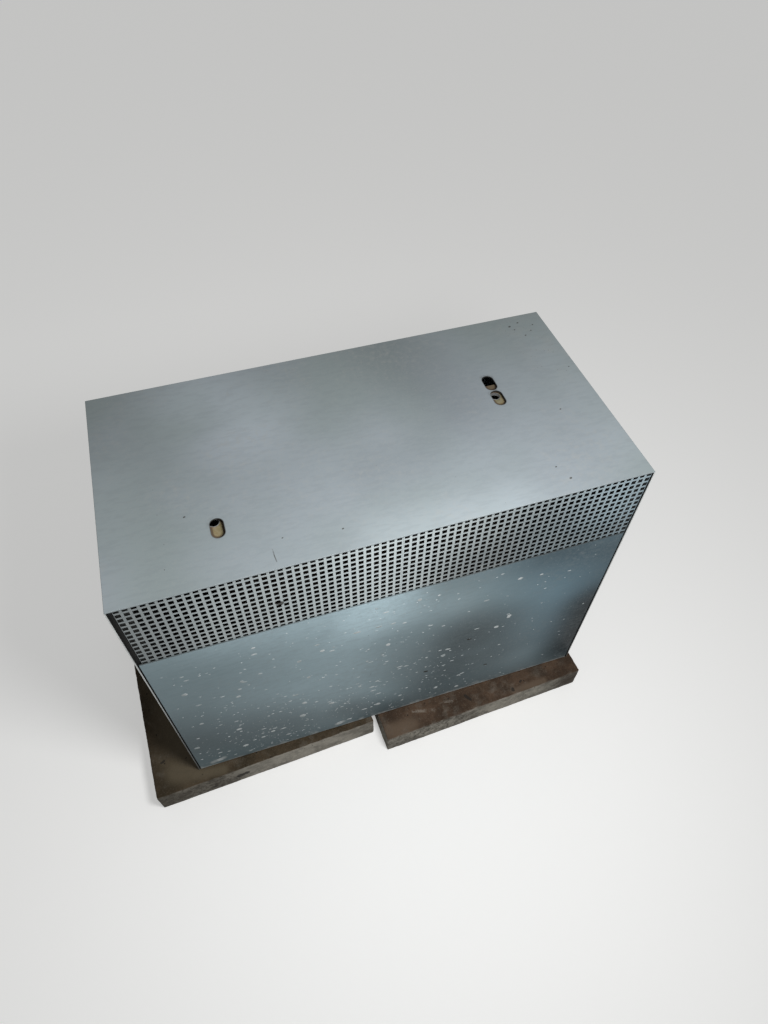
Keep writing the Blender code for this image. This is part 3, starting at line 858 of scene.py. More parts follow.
@dataclass(frozen=True)
class Passivated:
    """Yellow-passivated zinc plating: dull gold with a greenish and rosy cloud, and grey wear; painted shade
    marks and the painted shadows round slots can be laid on it.
    """

    name: str = "passivated_zinc"
    gold: Colour = (0.46, 0.37, 0.185)
    olive: Colour = (0.33, 0.315, 0.175)
    rosy: Colour = (0.48, 0.33, 0.22)
    grey: Colour = (0.36, 0.36, 0.34)
    dust: Colour = (0.30, 0.265, 0.21)
    # the colour of the painted shade and the painted shadows
    shadow_colour: Colour = (0.085, 0.052, 0.036)
    shadow_marks: tuple[Mark, ...] = ()
    slot_shadows: tuple[Stroke, ...] = ()
    slot_shadow_radius: float = 0.0105
    slot_shadow_width: float = 0.0040

    def paint(self, graph: Graph) -> None:
        """Builds the material.

        Args:
            graph: the material's graph.
        """
        clouds = graph.noise(0.018, detail=4.0, rough=0.6)
        layers = Layers(graph, graph.mix(clouds.ramp(0.35, 0.62), self.olive, self.gold), 0.42, 0.55)
        layers.lay(graph.noise(0.011, detail=3.0).ramp(0.55, 0.75) * 0.6, self.rosy)
        layers.lay(graph.noise(0.006, detail=5.0, rough=0.7).ramp(0.60, 0.72) * 0.5, self.grey, 0.35)
        settled = graph.facing("Z").ramp(0.6, 0.95) * graph.noise(0.008, detail=5.0).ramp(0.35, 0.70)
        layers.lay(settled * 0.55, self.dust, 0.85, 0.1)
        ragged = graph.noise(0.005, detail=4.0, rough=0.7)
        # painted shade, such as on a rail's end under the cover
        for start, end, radius in self.shadow_marks:
            painted_shade = graph.line(Plane.TOP, start, end) + (ragged - 0.5) * radius
            layers.lay(painted_shade.below(radius, radius) * 0.75, self.shadow_colour, 0.8, 0.0)
        # painted shadows of the cover's slot edges: dark rings round each slot
        for start, end in self.slot_shadows:
            away = graph.line(Plane.TOP, start, end) - self.slot_shadow_radius
            shadow_ring = away.ramp(-self.slot_shadow_width, -self.slot_shadow_width / 2)
            shadow_ring = shadow_ring * away.below(0.002, self.slot_shadow_width / 2)
            layers.lay(shadow_ring * 0.85, self.shadow_colour, 0.8, 0.0)
        layers.finish(normal=graph.bump(graph.noise(0.0009, detail=2.0), 0.00003))


DULL_ZINC = Passivated(
    "dull_zinc",
    gold=(0.42, 0.43, 0.43),
    olive=(0.31, 0.32, 0.33),
    rosy=(0.36, 0.34, 0.31),
    dust=(0.25, 0.23, 0.20),
)


# painted shade: the clamps' plating made near black inside the cabinet
SHADED_ZINC = Passivated(
    "shaded_zinc",
    gold=(0.050, 0.043, 0.030),
    olive=(0.034, 0.033, 0.024),
    rosy=(0.046, 0.036, 0.027),
    grey=(0.042, 0.041, 0.038),
    dust=(0.040, 0.036, 0.031),
)


@dataclass(frozen=True)
class CoreSteel:
    """Varnished edges of the core's laminations, which lie on each other from front to back, made near black
    as painted shade inside the cabinet.
    """

    name: str = "shaded_core_laminations"
    dark: Colour = (0.014, 0.013, 0.012)
    light: Colour = (0.030, 0.028, 0.026)
    varnish: Colour = (0.020, 0.014, 0.010)
    sheet: float = 0.0022

    def paint(self, graph: Graph) -> None:
        """Builds the material.

        Args:
            graph: the material's graph.
        """
        lines = graph.noise(1.0, detail=0.0, stretch=(2.0, 1 / self.sheet, 2.0))
        layers = Layers(graph, graph.mix(lines.ramp(0.35, 0.65), self.dark, self.light), 0.42, 0.45)
        layers.lay(graph.noise(0.04, detail=4.0).ramp(0.45, 0.70) * 0.6, self.varnish, 0.3, 0.0)
        layers.finish(normal=graph.bump(lines, 0.0003))


@dataclass(frozen=True)
class Winding:
    """Impregnated winding: bands of woven tape one above another under amber varnish, made near black as
    painted shade inside the cabinet.
    """

    name: str = "shaded_taped_winding"
    resin: Colour = (0.016, 0.010, 0.007)
    tape: Colour = (0.026, 0.019, 0.013)
    pooled: Colour = (0.010, 0.006, 0.004)
    dust: Colour = (0.030, 0.027, 0.023)
    band: float = 0.019
    weave: float = 0.0016

    def paint(self, graph: Graph) -> None:
        """Builds the material.

        Args:
            graph: the material's graph.
        """
        waves = {"wave_type": "BANDS", "bands_direction": "Z", "wave_profile": "SAW"}
        inputs = {"Vector": graph.place, "Scale": 0.314 / self.band, "Distortion": 0.6, "Detail": 1.0}
        turns = graph.node("ShaderNodeTexWave", waves, inputs, "Fac")
        weave = (0.7 / self.weave, 0.7 / self.weave, 1 / self.weave)
        threads = graph.noise(1.0, detail=0.0, stretch=weave)
        layers = Layers(graph, graph.mix(threads.ramp(0.3, 0.7), self.resin, self.tape), 0.38)
        layers.lay(turns.below(0.10, 0.12) * 0.85, self.pooled, 0.22)
        layers.lay(graph.noise(0.03, detail=4.0).ramp(0.5, 0.72) * 0.6, self.pooled, 0.25)
        layers.settle(0.6, self.dust, 0.01, 0.3, 0.6)
        relief = graph.bump(turns, 0.0008)
        layers.finish(normal=graph.bump(threads, 0.0002, relief))


@dataclass(frozen=True)
class Laminate:
    """Brown insulating board with fine fibres, made near black as painted shade inside the cabinet."""

    name: str = "shaded_insulating_board"
    colour: Colour = (0.050, 0.034, 0.020)
    fibre: Colour = (0.034, 0.022, 0.013)
    dust: Colour = (0.046, 0.041, 0.034)

    def paint(self, graph: Graph) -> None:
        """Builds the material.

        Args:
            graph: the material's graph.
        """
        fibres = graph.noise(0.01, detail=4.0, rough=0.6, stretch=(0.15, 1.0, 1.0))
        layers = Layers(graph, graph.mix(fibres.ramp(0.35, 0.65), self.fibre, self.colour), 0.45)
        layers.settle(0.5, self.dust, 0.012, 0.35, 0.65)
        layers.finish(normal=graph.bump(fibres, 0.0001))


@dataclass(frozen=True)
class Moulding:
    """Dark moulded plastic with a fine grain, greyed by dust and handling."""

    name: str = "moulded_plastic"
    colour: Colour = (0.026, 0.027, 0.029)
    worn: Colour = (0.085, 0.086, 0.086)

    def paint(self, graph: Graph) -> None:
        """Builds the material.

        Args:
            graph: the material's graph.
        """
        grain = graph.noise(0.0006, detail=2.0)
        layers = Layers(graph, self.colour, 0.46)
        layers.lay(graph.noise(0.006, detail=5.0, rough=0.7).ramp(0.45, 0.75) * 0.6, self.worn, 0.65)
        layers.finish(normal=graph.bump(grain, 0.00004))


@dataclass(frozen=True)
class TurnedBrass:
    """Turned brass with fine rings and brown tarnish."""

    name: str = "turned_brass"
    bright: Colour = (0.66, 0.47, 0.20)
    tarnish: Colour = (0.23, 0.145, 0.060)

    def paint(self, graph: Graph) -> None:
        """Builds the material.

        Args:
            graph: the material's graph.
        """
        rings = graph.noise(0.004, detail=1.0, stretch=(1.0, 14.0, 1.0))
        layers = Layers(graph, self.bright, 0.30, 1.0)
        layers.lay(graph.noise(0.005, detail=5.0, rough=0.65).ramp(0.42, 0.68) * 0.75, self.tarnish, 0.5)
        layers.finish(normal=graph.bump(rings, 0.00002))


@dataclass(frozen=True)
class Whitewash:
    """Dried drops of whitewash: chalky, thin enough at some to let the paint through."""

    name: str = "dried_whitewash"
    thick: Colour = (0.80, 0.85, 0.85)
    thin: Colour = (0.51, 0.57, 0.575)

    def paint(self, graph: Graph) -> None:
        """Builds the material.

        Args:
            graph: the material's graph.
        """
        body = graph.noise(0.02, detail=1.0)
        layers = Layers(graph, graph.mix(body.ramp(0.34, 0.58), self.thin, self.thick), 0.88)
        chalk = graph.noise(0.0012, detail=3.0, rough=0.7)
        layers.lay(chalk.ramp(0.5, 0.8) * 0.3, self.thin)
        layers.finish(normal=graph.bump(chalk, 0.0001), specular_ior_level=0.2)


class Finish(Protocol):
    """What a piece can wear: anything with a name that paints its own material."""

    name: str

    def paint(self, graph: Graph) -> None:
        """Builds the material."""


class Palette:
    """The finished materials, each made once."""

    def __init__(self) -> None:
        """Starts with none."""
        self.made: dict[Finish, bpy.types.Material] = {}

    def material(self, finish: Finish) -> bpy.types.Material:
        """Gives a finish's material, made at the first call.

        Args:
            finish: the finish.

        Returns:
            The material.
        """
        if finish not in self.made:
            graph = Graph(finish.name)
            finish.paint(graph)
            self.made[finish] = graph.material
        return self.made[finish]


def crossing(axis: int, beyond: float = -math.inf) -> Test:
    """A test for edges across an axis, or faces along it, with their middle beyond a place on it."""
    return lambda middle, way: middle[axis] > beyond and abs(way[axis]) < 0.1


class Workpiece:
    """One mesh under work: a primitive that edit-mode operators shape and modifiers finish."""

    def __init__(self, name: str, primitive: Primitive, **settings: object) -> None:
        """Adds the primitive at its size and place.

        Args:
            name: the piece's name.
            primitive: what it starts from.
            settings: the operator's own settings.
        """
        bpy.ops.object.select_all(action="DESELECT")
        getattr(bpy.ops.mesh, primitive.value)(**settings)
        self.item = bpy.context.active_object
        self.name_as(name)
        bpy.ops.object.transform_apply(location=True, rotation=True, scale=True)

    @classmethod
    def bar(cls, name: str, sides: int, radius: float, ends: Flat, along: str = "Z") -> "Workpiece":
        """Starts from a round or many-sided bar.

        Args:
            name: the piece's name.
            sides: how many sides it has.
            radius: to its corners.
            ends: where it starts and ends along its axis.
            along: its axis, Y or Z.

        Returns:
            The bar.
        """
        middle = sum(ends) / 2
        place, turn = (0, 0, middle), (0, 0, 0)
        if along == "Y":
            place, turn = (0, middle, 0), (math.radians(90), 0, 0)
        size = {"vertices": sides, "radius": radius, "depth": ends[1] - ends[0]}
        return cls(name, Primitive.CYLINDER, location=place, rotation=turn, **size)

    def activate(self) -> None:
        """Makes this the one selected, active object."""
        bpy.ops.object.select_all(action="DESELECT")
        self.item.select_set(True)
        bpy.context.view_layer.objects.active = self.item

    @contextmanager
    def editing(self) -> Iterator[None]:
        """Edit mode on this piece, for the length of a with block."""
        self.activate()
        bpy.ops.object.mode_set(mode="EDIT")
        yield
        bpy.ops.object.mode_set(mode="OBJECT")

    def pick(self, kind: Pick, test: Test) -> None:
        """Selects in edit mode what passes a test, and nothing else.

        Args:
            kind: points, edges or faces.
            test: takes a middle, and a normal or, for an edge, its direction.
        """
        bpy.ops.mesh.select_mode(type=kind.value)
        bpy.ops.mesh.select_all(action="DESELECT")
        mesh = bmesh.from_edit_mesh(self.item.data)
        if kind is Pick.FACES:
            for face in mesh.faces:
                face.select_set(bool(test(face.calc_center_median(), face.normal)))
        elif kind is Pick.EDGES:
            for edge in mesh.edges:
                first, second = (point.co for point in edge.verts)
                edge.select_set(bool(test((first + second) / 2, (second - first).normalized())))
        else:
            for point in mesh.verts:
                point.select_set(bool(test(point.co, point.normal)))
        mesh.select_flush_mode()
        bmesh.update_edit_mesh(self.item.data)

    @staticmethod
    def pick_all() -> None:
        """Selects everything in edit mode."""
        bpy.ops.mesh.select_all(action="SELECT")

    @staticmethod
    def draw_out(along: Point) -> None:
        """Extrudes what is selected by a vector."""
        bpy.ops.mesh.extrude_region_move(TRANSFORM_OT_translate={"value": along})

    def round_edges(self, test: Test, width: float, segments: int = 2) -> None:
        """Bevels the edges that pass a test."""
        self.pick(Pick.EDGES, test)
        bpy.ops.mesh.bevel(offset=width, segments=segments, affect="EDGES")

    def modify(self, kind: str, **settings: object) -> None:
        """Adds a modifier and applies it.

        Args:
            kind: the modifier's type.
            settings: its settings.
        """
        self.activate()
        made = self.item.modifiers.new(kind.lower(), kind)
        for name, setting in settings.items():
            setattr(made, name, setting)
        bpy.ops.object.modifier_apply(modifier=made.name)

    def cut_with(self, tool: "Workpiece") -> None:
        """Cuts another piece out of this one and removes it."""
        self.modify("BOOLEAN", operation="DIFFERENCE", object=tool.item)
        tool.discard()

    def copy_to(self, place: Matrix) -> "Workpiece":
        """Copies the piece with a mesh of its own.

        Args:
            place: how the copy is turned and moved.

        Returns:
            The copy.
        """
        twin = object.__new__(Workpiece)
        twin.item = self.item.copy()
        twin.item.data = self.item.data.copy()
        twin.item.data.transform(place)
        bpy.context.scene.collection.objects.link(twin.item)
        return twin

    def join(self, others: Iterable["Workpiece"]) -> "Workpiece":
        """Joins other pieces into this one.

        Args:
            others: the pieces, which are used up.

        Returns:
            This piece.
        """
        self.activate()
        for other in others:
            other.item.select_set(True)
        bpy.ops.object.join()
        return self

    def name_as(self, name: str) -> "Workpiece":
        """Names the piece and its mesh."""
        self.item.name = self.item.data.name = name
        return self

    def smooth(self, degrees: float) -> "Workpiece":
        """Shades it smooth up to an angle between faces."""
        self.activate()
        bpy.ops.object.shade_smooth_by_angle(angle=math.radians(degrees))
        return self

    def discard(self) -> None:
        """Removes the piece, once it is copied or has cut."""
        bpy.data.objects.remove(self.item, do_unlink=True)


@dataclass
class SubAssembly:
    """Pieces that are dressed and built together, and ride on one body."""

    palette: Palette
    body: str = "root"

    def dress(self, nodes: Iterable[str], finish: Finish) -> None:
        """Gives solids of the frame a finish by their material slots.

        Args:
            nodes: the solids' names.
            finish: the finish that they wear.
        """
        for name in nodes:
            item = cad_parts[name]
            item.material_slots[0].material = self.palette.material(finish)
            LOG.info("%s wears %s", name, finish.name)

    def hand_over(
        self, piece: Workpiece, finish: Finish, slot: str | None = None, stands_for: Iterable[str] = ()
    ) -> None:
        """Gives a new piece its finish and its body.

        Args:
            piece: the finished piece.
            finish: the finish that it wears.
            slot: not used.
            stands_for: the solids that it replaces.
        """
        piece.item.data.materials.clear()
        piece.item.data.materials.append(self.palette.material(finish))
        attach(piece.item, self.body)
        if stands_for:
            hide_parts(*stands_for)
        LOG.info("%s has %d faces", piece.item.name, len(piece.item.data.polygons))

    def build(self) -> None:
        """Dresses and builds the group."""
        raise NotImplementedError


@dataclass(frozen=True)
class SlabWear:
    """How one slab is worn: its broken corners, its rounded lip, the turn that it lies at, its finish."""

    node: str
    turn: float
    lip: float
    chips: tuple[tuple[Point, Point], ...]
    seed_shift: Point
    finish: Concrete


LEFT_SLAB = SlabWear(
    "paving_slab_left",
    2.65,
    0.014,
    (
        ((-0.248, -0.248, 0.035), (-0.72, -0.60, 0.35)),
        ((0.250, -0.250, 0.035), (0.6, -0.6, 0.5)),
    ),
    (0.0, 0.0, 0.0),
    Concrete(
        "worn_concrete_left",
        dust=(0.092, 0.066, 0.040),
        deep_dust=(0.050, 0.037, 0.021),
        swept_and_lit=(0.150, 0.122, 0.080),
        lip=((-0.548, -0.264), (-0.050, -0.241)),
        lip_reach=0.002,
        # the first mark is painted light that lifts the cabinet's cast shadow
        swept_and_lit_marks=(
            ((-0.475, 0.240), (-0.470, -0.180), 0.055),
            ((-0.500, -0.222), (-0.480, -0.228), 0.018),
            ((-0.460, -0.238), (-0.400, -0.245), 0.010),
        ),
        dark_marks=(((-0.529, -0.189), (-0.522, -0.186), 0.0025),),
        # painted shade and painted highlight on the front face
        painted_shade=(((-0.560, 0.035), (-0.420, 0.035), 0.10, 0.48),),
        painted_light=(((-0.300, 0.045), (-0.140, 0.045), 0.13, 0.75),),
        front_pits=(((-0.370, 0.030), (-0.356, 0.034), 0.0075), ((-0.430, 0.018), (-0.426, 0.019), 0.003)),
    ),
)
RIGHT_SLAB = SlabWear(
    "paving_slab_right",
    2.32,
    0.006,
    (
        ((-0.250, -0.250, 0.035), (-0.7, -0.55, 0.35)),
        ((0.249, -0.249, 0.035), (0.74, -0.60, 0.25)),
    ),
    (1.7, 0.4, 0.9),
    Concrete(
        "worn_concrete_right",
        swept_and_lit=(0.165, 0.118, 0.082),
        lip=((-0.034, -0.2936), (0.465, -0.273)),
        lip_reach=0.0030,
        swept_and_lit_marks=(
            ((0.290, -0.2725), (0.370, -0.2690), 0.007),
            ((-0.025, -0.275), (0.030, -0.275), 0.016),
        ),
        dark_marks=(
            ((0.1751, -0.2475), (0.1830, -0.2617), 0.0032),
            ((0.2884, -0.2698), (0.2900, -0.2650), 0.0030),
            ((0.3138, -0.2550), (0.3170, -0.2530), 0.0026),
        ),
        pale_marks=(
            ((0.0441, -0.2463), (0.0917, -0.2589), 0.004),
            ((0.112, -0.2449), (0.1398, -0.2512), 0.003),
        ),
        # painted shade and painted highlight on the front face
        painted_shade=(((0.445, 0.035), (0.480, 0.035), 0.060, 0.80),),
        painted_light=(((0.240, 0.035), (0.340, 0.035), 0.09, 0.60),),
    ),
)


@dataclass
class Paving(SubAssembly):
    """Two loose concrete slabs with worn edges, chipped corners and a rough skin."""

    side: float = 0.5012
    thickness: float = 0.070
    edge: float = 0.0042
    sharp: float = 40.0
    skin: float = 0.0036
    proud: float = 0.2
    bed: float = 0.004
    noises: tuple[Flat, ...] = ((0.110, 0.0022), (0.028, 0.0014), (0.009, 0.0010), (0.0045, 0.0006))
    wear: tuple[SlabWear, ...] = (LEFT_SLAB, RIGHT_SLAB)

    def build(self) -> None:
        """Models both slabs in place of their plain solids."""
        for wear in self.wear:
            self.hand_over(self.slab(wear), wear.finish, "concrete", [wear.node])

    def slab(self, wear: SlabWear) -> Workpiece:
        """Models one slab about the origin and lays it in place.

        Args:
            wear: its broken corners and its turn.

        Returns:
            The slab.
        """
        low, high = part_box(wear.node)
        under = -self.thickness / 2
        slab = Workpiece(wear.node + "_worn", Primitive.CUBE, size=1.0)
        with slab.editing():
            slab.pick_all()
            bpy.ops.transform.resize(value=(self.side, self.side, self.thickness))
            for point, away in wear.chips:
                slab.pick_all()
                bpy.ops.mesh.bisect(plane_co=point, plane_no=away, use_fill=True, clear_outer=True)
            slab.round_edges(self.is_lip, wear.lip, 5)
            bpy.ops.mesh.select_all(action="DESELECT")
            bpy.ops.mesh.edges_select_sharp(sharpness=math.radians(self.sharp))
            bpy.ops.mesh.bevel(offset=self.edge, segments=3, affect="EDGES")
        slab.modify("REMESH", mode="VOXEL", voxel_size=self.skin)
        for size, depth in self.noises:
            self.roughen(slab, size, depth, wear.seed_shift)
        with slab.editing():
            slab.pick(Pick.POINTS, lambda place, normal: place.z < self.bed + under)
            bpy.ops.transform.resize(value=(1.0, 1.0, 0.0), center_override=(0.0, 0.0, under))
        turned = Matrix.Rotation(math.radians(wear.turn), 4, "Z")
        slab.item.data.transform(Matrix.Translation((low + high) / 2) @ turned)
        return slab.smooth(60.0)

    def is_lip(self, middle: Vector, along: Vector) -> bool:
        """Whether an edge is the upper one along the slab's front."""
        high = middle.z > self.thickness / 2 - MM
        return high and middle.y < MM - self.side / 2 and abs(along.x) > 0.9

    def roughen(self, slab: Workpiece, size: float, depth: float, shift: Point) -> None:
        """Wears the skin by noise, most of it inwards.

        Args:
            slab: the slab, about the origin.
            size: the size of the noise.
            depth: how deep it goes, from its highest point to its lowest.
            shift: where in the noise this slab lies, in metres.
        """
        noise = bpy.data.textures.new("wear", "CLOUDS")
        noise.noise_scale = size
        noise.noise_depth = 2
        anchor = bpy.data.objects.new("wear_place", None)
        anchor.location = shift
        bpy.context.scene.collection.objects.link(anchor)
        bpy.context.view_layer.update()
        slab.modify(
            "DISPLACE",
            texture=noise,
            strength=depth,
            mid_level=1 - self.proud,
            texture_coords="OBJECT",
            texture_coords_object=anchor,
        )
        bpy.data.objects.remove(anchor, do_unlink=True)


@dataclass
class Screws(SubAssembly):
    """Pan-head screws on washers, which hold the sheets, modelled once and copied to their places."""

    head_radius: float = 0.0047
    head_height: float = 0.0027
    washer_radius: float = 0.0062
    washer_height: float = 0.0010
    socket_reach: float = 0.0027
    socket_width: float = 0.0011
    socket_depth: float = 0.0014
    sides: int = 24
    twist: float = 37.0
    inset: float = 0.016
    plate_inset: float = 0.009
    side_rows: tuple[float, float, int] = (0.035, 0.030, 4)
    back_rows: tuple[float, float, int] = (0.050, 0.030, 3)
    plate_rows: tuple[float, float, int] = (0.009, 0.009, 2)
    foot_columns: Flat = (-0.20, 0.20)

    def build(self) -> None:
        """Puts screws on both side panels, the back and the gland plate."""
        screw = self.model()
        for name, side in (("left_side_panel", -1.0), ("right_side_panel", 1.0)):
            low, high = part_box(name)
            face = high.x if side > 0 else low.x
            rows = self.spread(low.z, high.z, *self.side_rows)
            columns = (low.y + self.inset, high.y - self.inset)
            places = [Vector((face, y, z)) for y in columns for z in rows]
            self.place(screw, name, places, Vector((side, 0.0, 0.0)))
        for name, inset, spacing, foot_columns in (
            ("back_panel", self.inset, self.back_rows, self.foot_columns),
            ("gland_plate", self.plate_inset, self.plate_rows, ()),
        ):
            low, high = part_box(name)
            rows = self.spread(low.z, high.z, *spacing)
            places = [Vector((x, high.y, z)) for x in (low.x + inset, high.x - inset) for z in rows]
            places += [Vector((x, high.y, low.z + inset)) for x in foot_columns]
            self.place(screw, name, places, Vector((0.0, 1.0, 0.0)))
        screw.discard()

    @staticmethod
    def spread(low: float, high: float, foot: float, head: float, count: int) -> list[float]:
        """Even heights, from foot above the lower end to head below the upper one."""
        return [low + foot + (high - head - low - foot) * step / (count - 1) for step in range(count)]

    def model(self) -> Workpiece:
        """Models the screw with its seat at the origin and its head along +Z.

        Returns:
            The screw on its washer.
        """
        top = self.washer_height
        height = self.head_height
        washer = Workpiece.bar("screw", self.sides, self.washer_radius, (0.0, top))
        with washer.editing():
            washer.round_edges(crossing(2, 0.9 * top), 0.3 * top)
        head = Workpiece.bar("screw_head", self.sides, self.head_radius, (top, top + height))
        with head.editing():
            head.round_edges(crossing(2, top + 0.9 * height), 0.6 * height, 4)
        width, reach = self.socket_width, self.socket_reach
        for across, along in ((width, reach), (reach, width)):
            shape = {"location": (0, 0, top + height), "scale": (across, along, self.socket_depth)}
            head.cut_with(Workpiece("socket_tool", Primitive.CUBE, size=2.0, **shape))
        return washer.join([head]).smooth(30.0)

    def place(self, screw: Workpiece, sheet: str, places: list[Vector], outward: Vector) -> None:
        """Copies the screw to its places and joins the copies into one piece.

        Args:
            screw: the model.
            sheet: the sheet that the screws hold.
            places: the seats.
            outward: the way that the heads face.
        """
        upright = outward.to_track_quat("Z", "Y").to_matrix().to_4x4()
        copies = []
        for index, seat in enumerate(places):
            twist = Matrix.Rotation(math.radians(self.twist * index), 4, "Z")
            copies.append(screw.copy_to(Matrix.Translation(seat) @ upright @ twist))
        joined = copies[0].join(copies[1:]).name_as(sheet + "_screws")
        self.hand_over(joined, Passivated(), "passivated_steel")


@dataclass
class Cabinet(SubAssembly):
    """Cover, sides, front, back and vent bands of the enclosure."""

    pitch: float = 0.01272
    hole: float = 0.0084
    hole_corner: float = 0.0007
    blank: float = 0.034
    top_margin: float = 0.25
    near: float = 0.0001

    def build(self) -> None:
        """Dresses the sheets and models the back's perforated sheet."""
        self.dress(["top_cover"], CoverPaint())
        self.dress(["left_side_panel", "right_side_panel"], EdgePaint())
        self.dress(["front_panel"], FrontPaint())
        self.dress(["back_panel", "gland_plate"], SheetPaint())
        self.dress(["front_vent_sheet_left", "front_vent_sheet_right"], VentPaint())
        self.hand_over(self.back_sheet(), VentPaint(), "vent_paint", ["back_vent_sheet"])

    def back_sheet(self) -> Workpiece:
        """Models the perforated sheet at the back: one punched cell, repeated, with plain margins.

        Returns:
            The sheet.
        """
        low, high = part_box("back_vent_sheet")
        pitch, near = self.pitch, self.near
        columns = int((high.x - low.x - pitch) / pitch)
        rows = int((high.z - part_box("back_panel")[1].z - self.blank) / pitch)
        start_x = (low.x + high.x - columns * pitch) / 2
        start_z = high.z - (rows + self.top_margin) * pitch
        cell = Workpiece(
            "back_vent_sheet_perforated",
            Primitive.PLANE,
            size=pitch,
            location=(start_x + pitch / 2, high.y, start_z + pitch / 2),
            rotation=(math.radians(-90), 0, 0),
        )
        with cell.editing():
            cell.pick_all()
            bpy.ops.mesh.inset(thickness=(pitch - self.hole) / 2)
            bpy.ops.mesh.bevel(offset=self.hole_corner, segments=2, affect="VERTICES")
            bpy.ops.mesh.delete(type="FACE")
        repeat = {"use_relative_offset": False, "use_constant_offset": True}
        repeat.update({"use_merge_vertices": True, "merge_threshold": near})
        cell.modify("ARRAY", count=columns, constant_offset_displace=(pitch, 0, 0), **repeat)
        cell.modify("ARRAY", count=rows, constant_offset_displace=(0, 0, pitch), **repeat)
        end_x = start_x + columns * pitch
        end_z = start_z + rows * pitch
        with cell.editing():
            for test, along in (
                (lambda middle, way: middle.x < start_x + near, (low.x - start_x, 0, 0)),
                (lambda middle, way: middle.x > end_x - near, (high.x - end_x, 0, 0)),
                (lambda middle, way: middle.z < start_z + near, (0, 0, low.z - start_z)),
                (lambda middle, way: middle.z > end_z - near, (0, 0, high.z - end_z)),
            ):
                cell.pick(Pick.EDGES, test)
                cell.draw_out(along)
            cell.pick_all()
            bpy.ops.mesh.remove_doubles(threshold=near / 10)
            bpy.ops.mesh.normals_make_consistent(inside=False)
        cell.modify("SOLIDIFY", thickness=high.y - low.y, offset=-1.0)
        return cell


